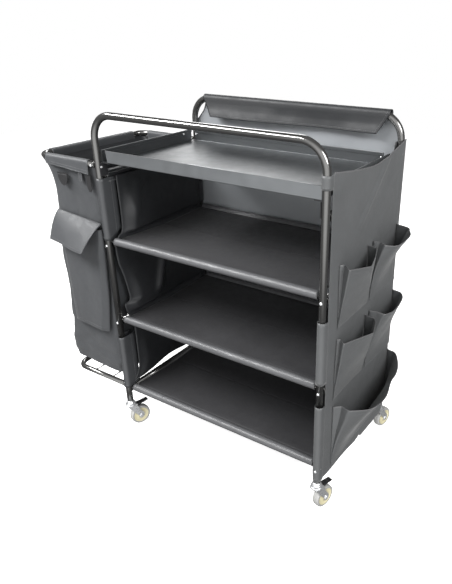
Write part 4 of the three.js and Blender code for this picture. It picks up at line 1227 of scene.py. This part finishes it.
def caster(key, name):
    _, post = joint(f"{name}_swivel")
    post.z = 0
    centre, axle, ahead = local_frame(f"{name}_roll")
    trail = (centre - post).dot(ahead)
    radius = centre.z
    half = 12.0

    def wheel_piece(label, node, profile, material, slot):
        points, faces = turned_closed(profile, 72)
        points = to_cart(points, centre, ahead, axle)
        piece = make(f"{name}_{label}", points, faces, material, slot, f"{name}_wheel")
        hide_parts(node)

    crown = [(radius - 8.2, -half), (radius - 3.4, -half), (radius - 1.4, -half + 1.3),
             (radius - 0.5, -half + 3.6), (radius, -half * 0.45), (radius, half * 0.45),
             (radius - 0.5, half - 3.6), (radius - 1.4, half - 1.3), (radius - 3.4, half),
             (radius - 8.2, half)]
    wheel_piece("tread", f"caster_{key}_tyre", crown, TREAD, "wheel_tread")
    side = [(4.3, 0), (8.6, 0), (9.4, 0.7), (11.5, 2.2), (15, 2.9), (radius - 15, 2.6), (radius - 12, 1.2),
            (radius - 10.4, 0.2), (radius - 8.5, 0)]
    hub = [(r, -half + dish) for r, dish in side] + [(r, half - dish) for r, dish in side[::-1]]
    wheel_piece("hub", f"caster_{key}_hub", hub, HUB, "wheel_hub")

    body = f"{name}_swivel"
    foot = low_mm(f"caster_{key}_stem").z
    crown_top = high_mm(f"caster_{key}_fork").z
    stem = [(15.5, foot), (16.4, foot + 1), (16.4, foot + 4.5), (15, foot + 5.5), (13.5, foot + 8.5),
            (11.5, LEG_FOOT - 0.3), (9, LEG_FOOT), (9, high_mm(f"caster_{key}_stem").z)]
    piece = make(f"{name}_stem", *turned(stem, (post.x, post.y, 0), UP), ZINC, "zinc_plate")
    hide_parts(f"caster_{key}_stem")

    parts = [turned([(9, crown_top - 7), (18.6, crown_top - 6.6), (19.6, crown_top - 5),
                     (19.4, crown_top - 1.4), (17.8, crown_top), (6, crown_top)], (0, 0, 0), UP)]
    ear_in, ear_out = half + 1.6, half + 4.1
    outline = spline([(-15, crown_top - 3), (-12, crown_top - 14), (6, radius + 22), (trail - 11, radius + 3),
                      (trail - 8, radius - 8), (trail + 2, radius - 11.5), (trail + 11, radius - 3),
                      (trail + 10, radius + 9), (trail - 1, radius + 26), (19, crown_top - 12),
                      (17, crown_top - 3)], 60, closed=True)
    for sign in (-1, 1):
        near, far = sign * ear_in, sign * ear_out
        ring = [np.stack([outline[:, 0], np.full(60, y), outline[:, 1]], axis=1) for y in (near, far)]
        faces = grid_faces(2, 60, False, True) + [tuple(range(60))[::-1], tuple(range(60, 120))]
        parts.append((np.concatenate(ring), faces))
    for sign in (-1, 1):
        cap = [(7.6, 0), (7.6, 2.4), (6.4, 3.6), (3, 3.8), (2.6, 3.0), (0.2, 3.0)]
        points, faces = turned(cap, (0, 0, 0), (0, sign, 0), 6 if sign > 0 else 32)
        parts.append((points + np.array([trail, sign * ear_out, radius]), faces))
    axle_bar = turned([(3.9, -ear_out), (3.9, ear_out)], (0, 0, 0), (0, 1, 0), 24)
    parts.append((axle_bar[0] + np.array([trail, 0, radius]), axle_bar[1]))
    points, faces = joined(*parts)
    points = to_cart(points, post, ahead, axle)
    piece = make(f"{name}_fork", points, faces, ZINC, "zinc_plate", body, smooth=False)
    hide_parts(f"caster_{key}_fork")


def pedal(key, name):
    """A short moulded brake pedal: a ribbed pad on an arm, on its pin behind the stem."""
    _, pin = joint(f"{name}_brake")
    _, axle, ahead = local_frame(f"{name}_roll")
    pressed = math.radians(PEDAL_PRESSED[name])
    half = 8.4
    arm = rounded([(-7, -6.6), (6, -6.6), (13, -0.5), (36, 3.2), (42, 5.2), (41, 8.6), (33, 7.2),
                   (10, 5.4), (-7, 4.8)], 1.2, 4)
    arm = np.array(arm)[:, :2]
    count = len(arm)
    rings = []
    for y, inset in ((-half, 0.8), (-half + 0.8, 0), (half - 0.8, 0), (half, 0.8)):
        centre = arm.mean(axis=0)
        shape = arm + (centre - arm) / np.linalg.norm(centre - arm, axis=1)[:, None] * inset
        rings.append(np.stack([shape[:, 0], np.full(count, y), shape[:, 1]], axis=1))
    faces = grid_faces(4, count, False, True)
    faces += [tuple(range(count))[::-1], tuple(range(3 * count, 4 * count))]
    parts = [(np.concatenate(rings), faces)]
    for x in (18, 22.5, 27, 31.5):
        rise = (x - 18) * 0.08
        parts.append(block((x, -half + 1.2, 5.4 + rise), (x + 1.8, half - 1.2, 7.6 + rise), 0.5))
    points, faces = joined(*parts)
    x, z = points[:, 0].copy(), points[:, 2].copy()
    points[:, 0] = x * math.cos(pressed) + z * math.sin(pressed)
    points[:, 2] = -x * math.sin(pressed) + z * math.cos(pressed)
    points = to_cart(points, pin, ahead, axle)
    piece = make(f"{name}_brake_pad", points, faces, BLACK_PLASTIC, "pedal_plastic", f"{name}_pedal",
                 smooth=False)
    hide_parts(f"caster_{key}_brake_pedal")


def turned_closed(profile, sides):
    """A closed ring about the local axle: profile is [radius, distance along the axle]."""
    angles = np.linspace(0, 2 * math.pi, sides, endpoint=False)
    rings = [np.stack([r * np.cos(angles), np.full(sides, h), r * np.sin(angles)], axis=1)
             for r, h in profile]
    return np.concatenate(rings), grid_faces(len(profile), sides, True, True)


def dress_cad_nodes():
    """The tray brackets keep their CAD shape and take a finish."""
    for node, piece in frame["nodes"].items():
        if "tray_bracket" in node:
            piece.data.materials.clear()
            piece.data.materials.append(BLACK_STEEL)


# ---- The cart ----
set_stage()
upper_frames()
side_rails()
shelf_rails()
end_frames()
bolts()
tray()
shelf_decks()
panel_surface = right_panel()
right_sleeves()
left_panel()
back_panel()
back_flap()
pockets(panel_surface)
laundry_bag()
rim_sleeves()
bag_pocket()
bag_flap()
bag_fittings()
for caster_key, caster_name in CASTERS.items():
    caster(caster_key, caster_name)
for caster_name in PEDAL_PRESSED:
    pedal(caster_name[0] + caster_name[6], caster_name)
dress_cad_nodes()
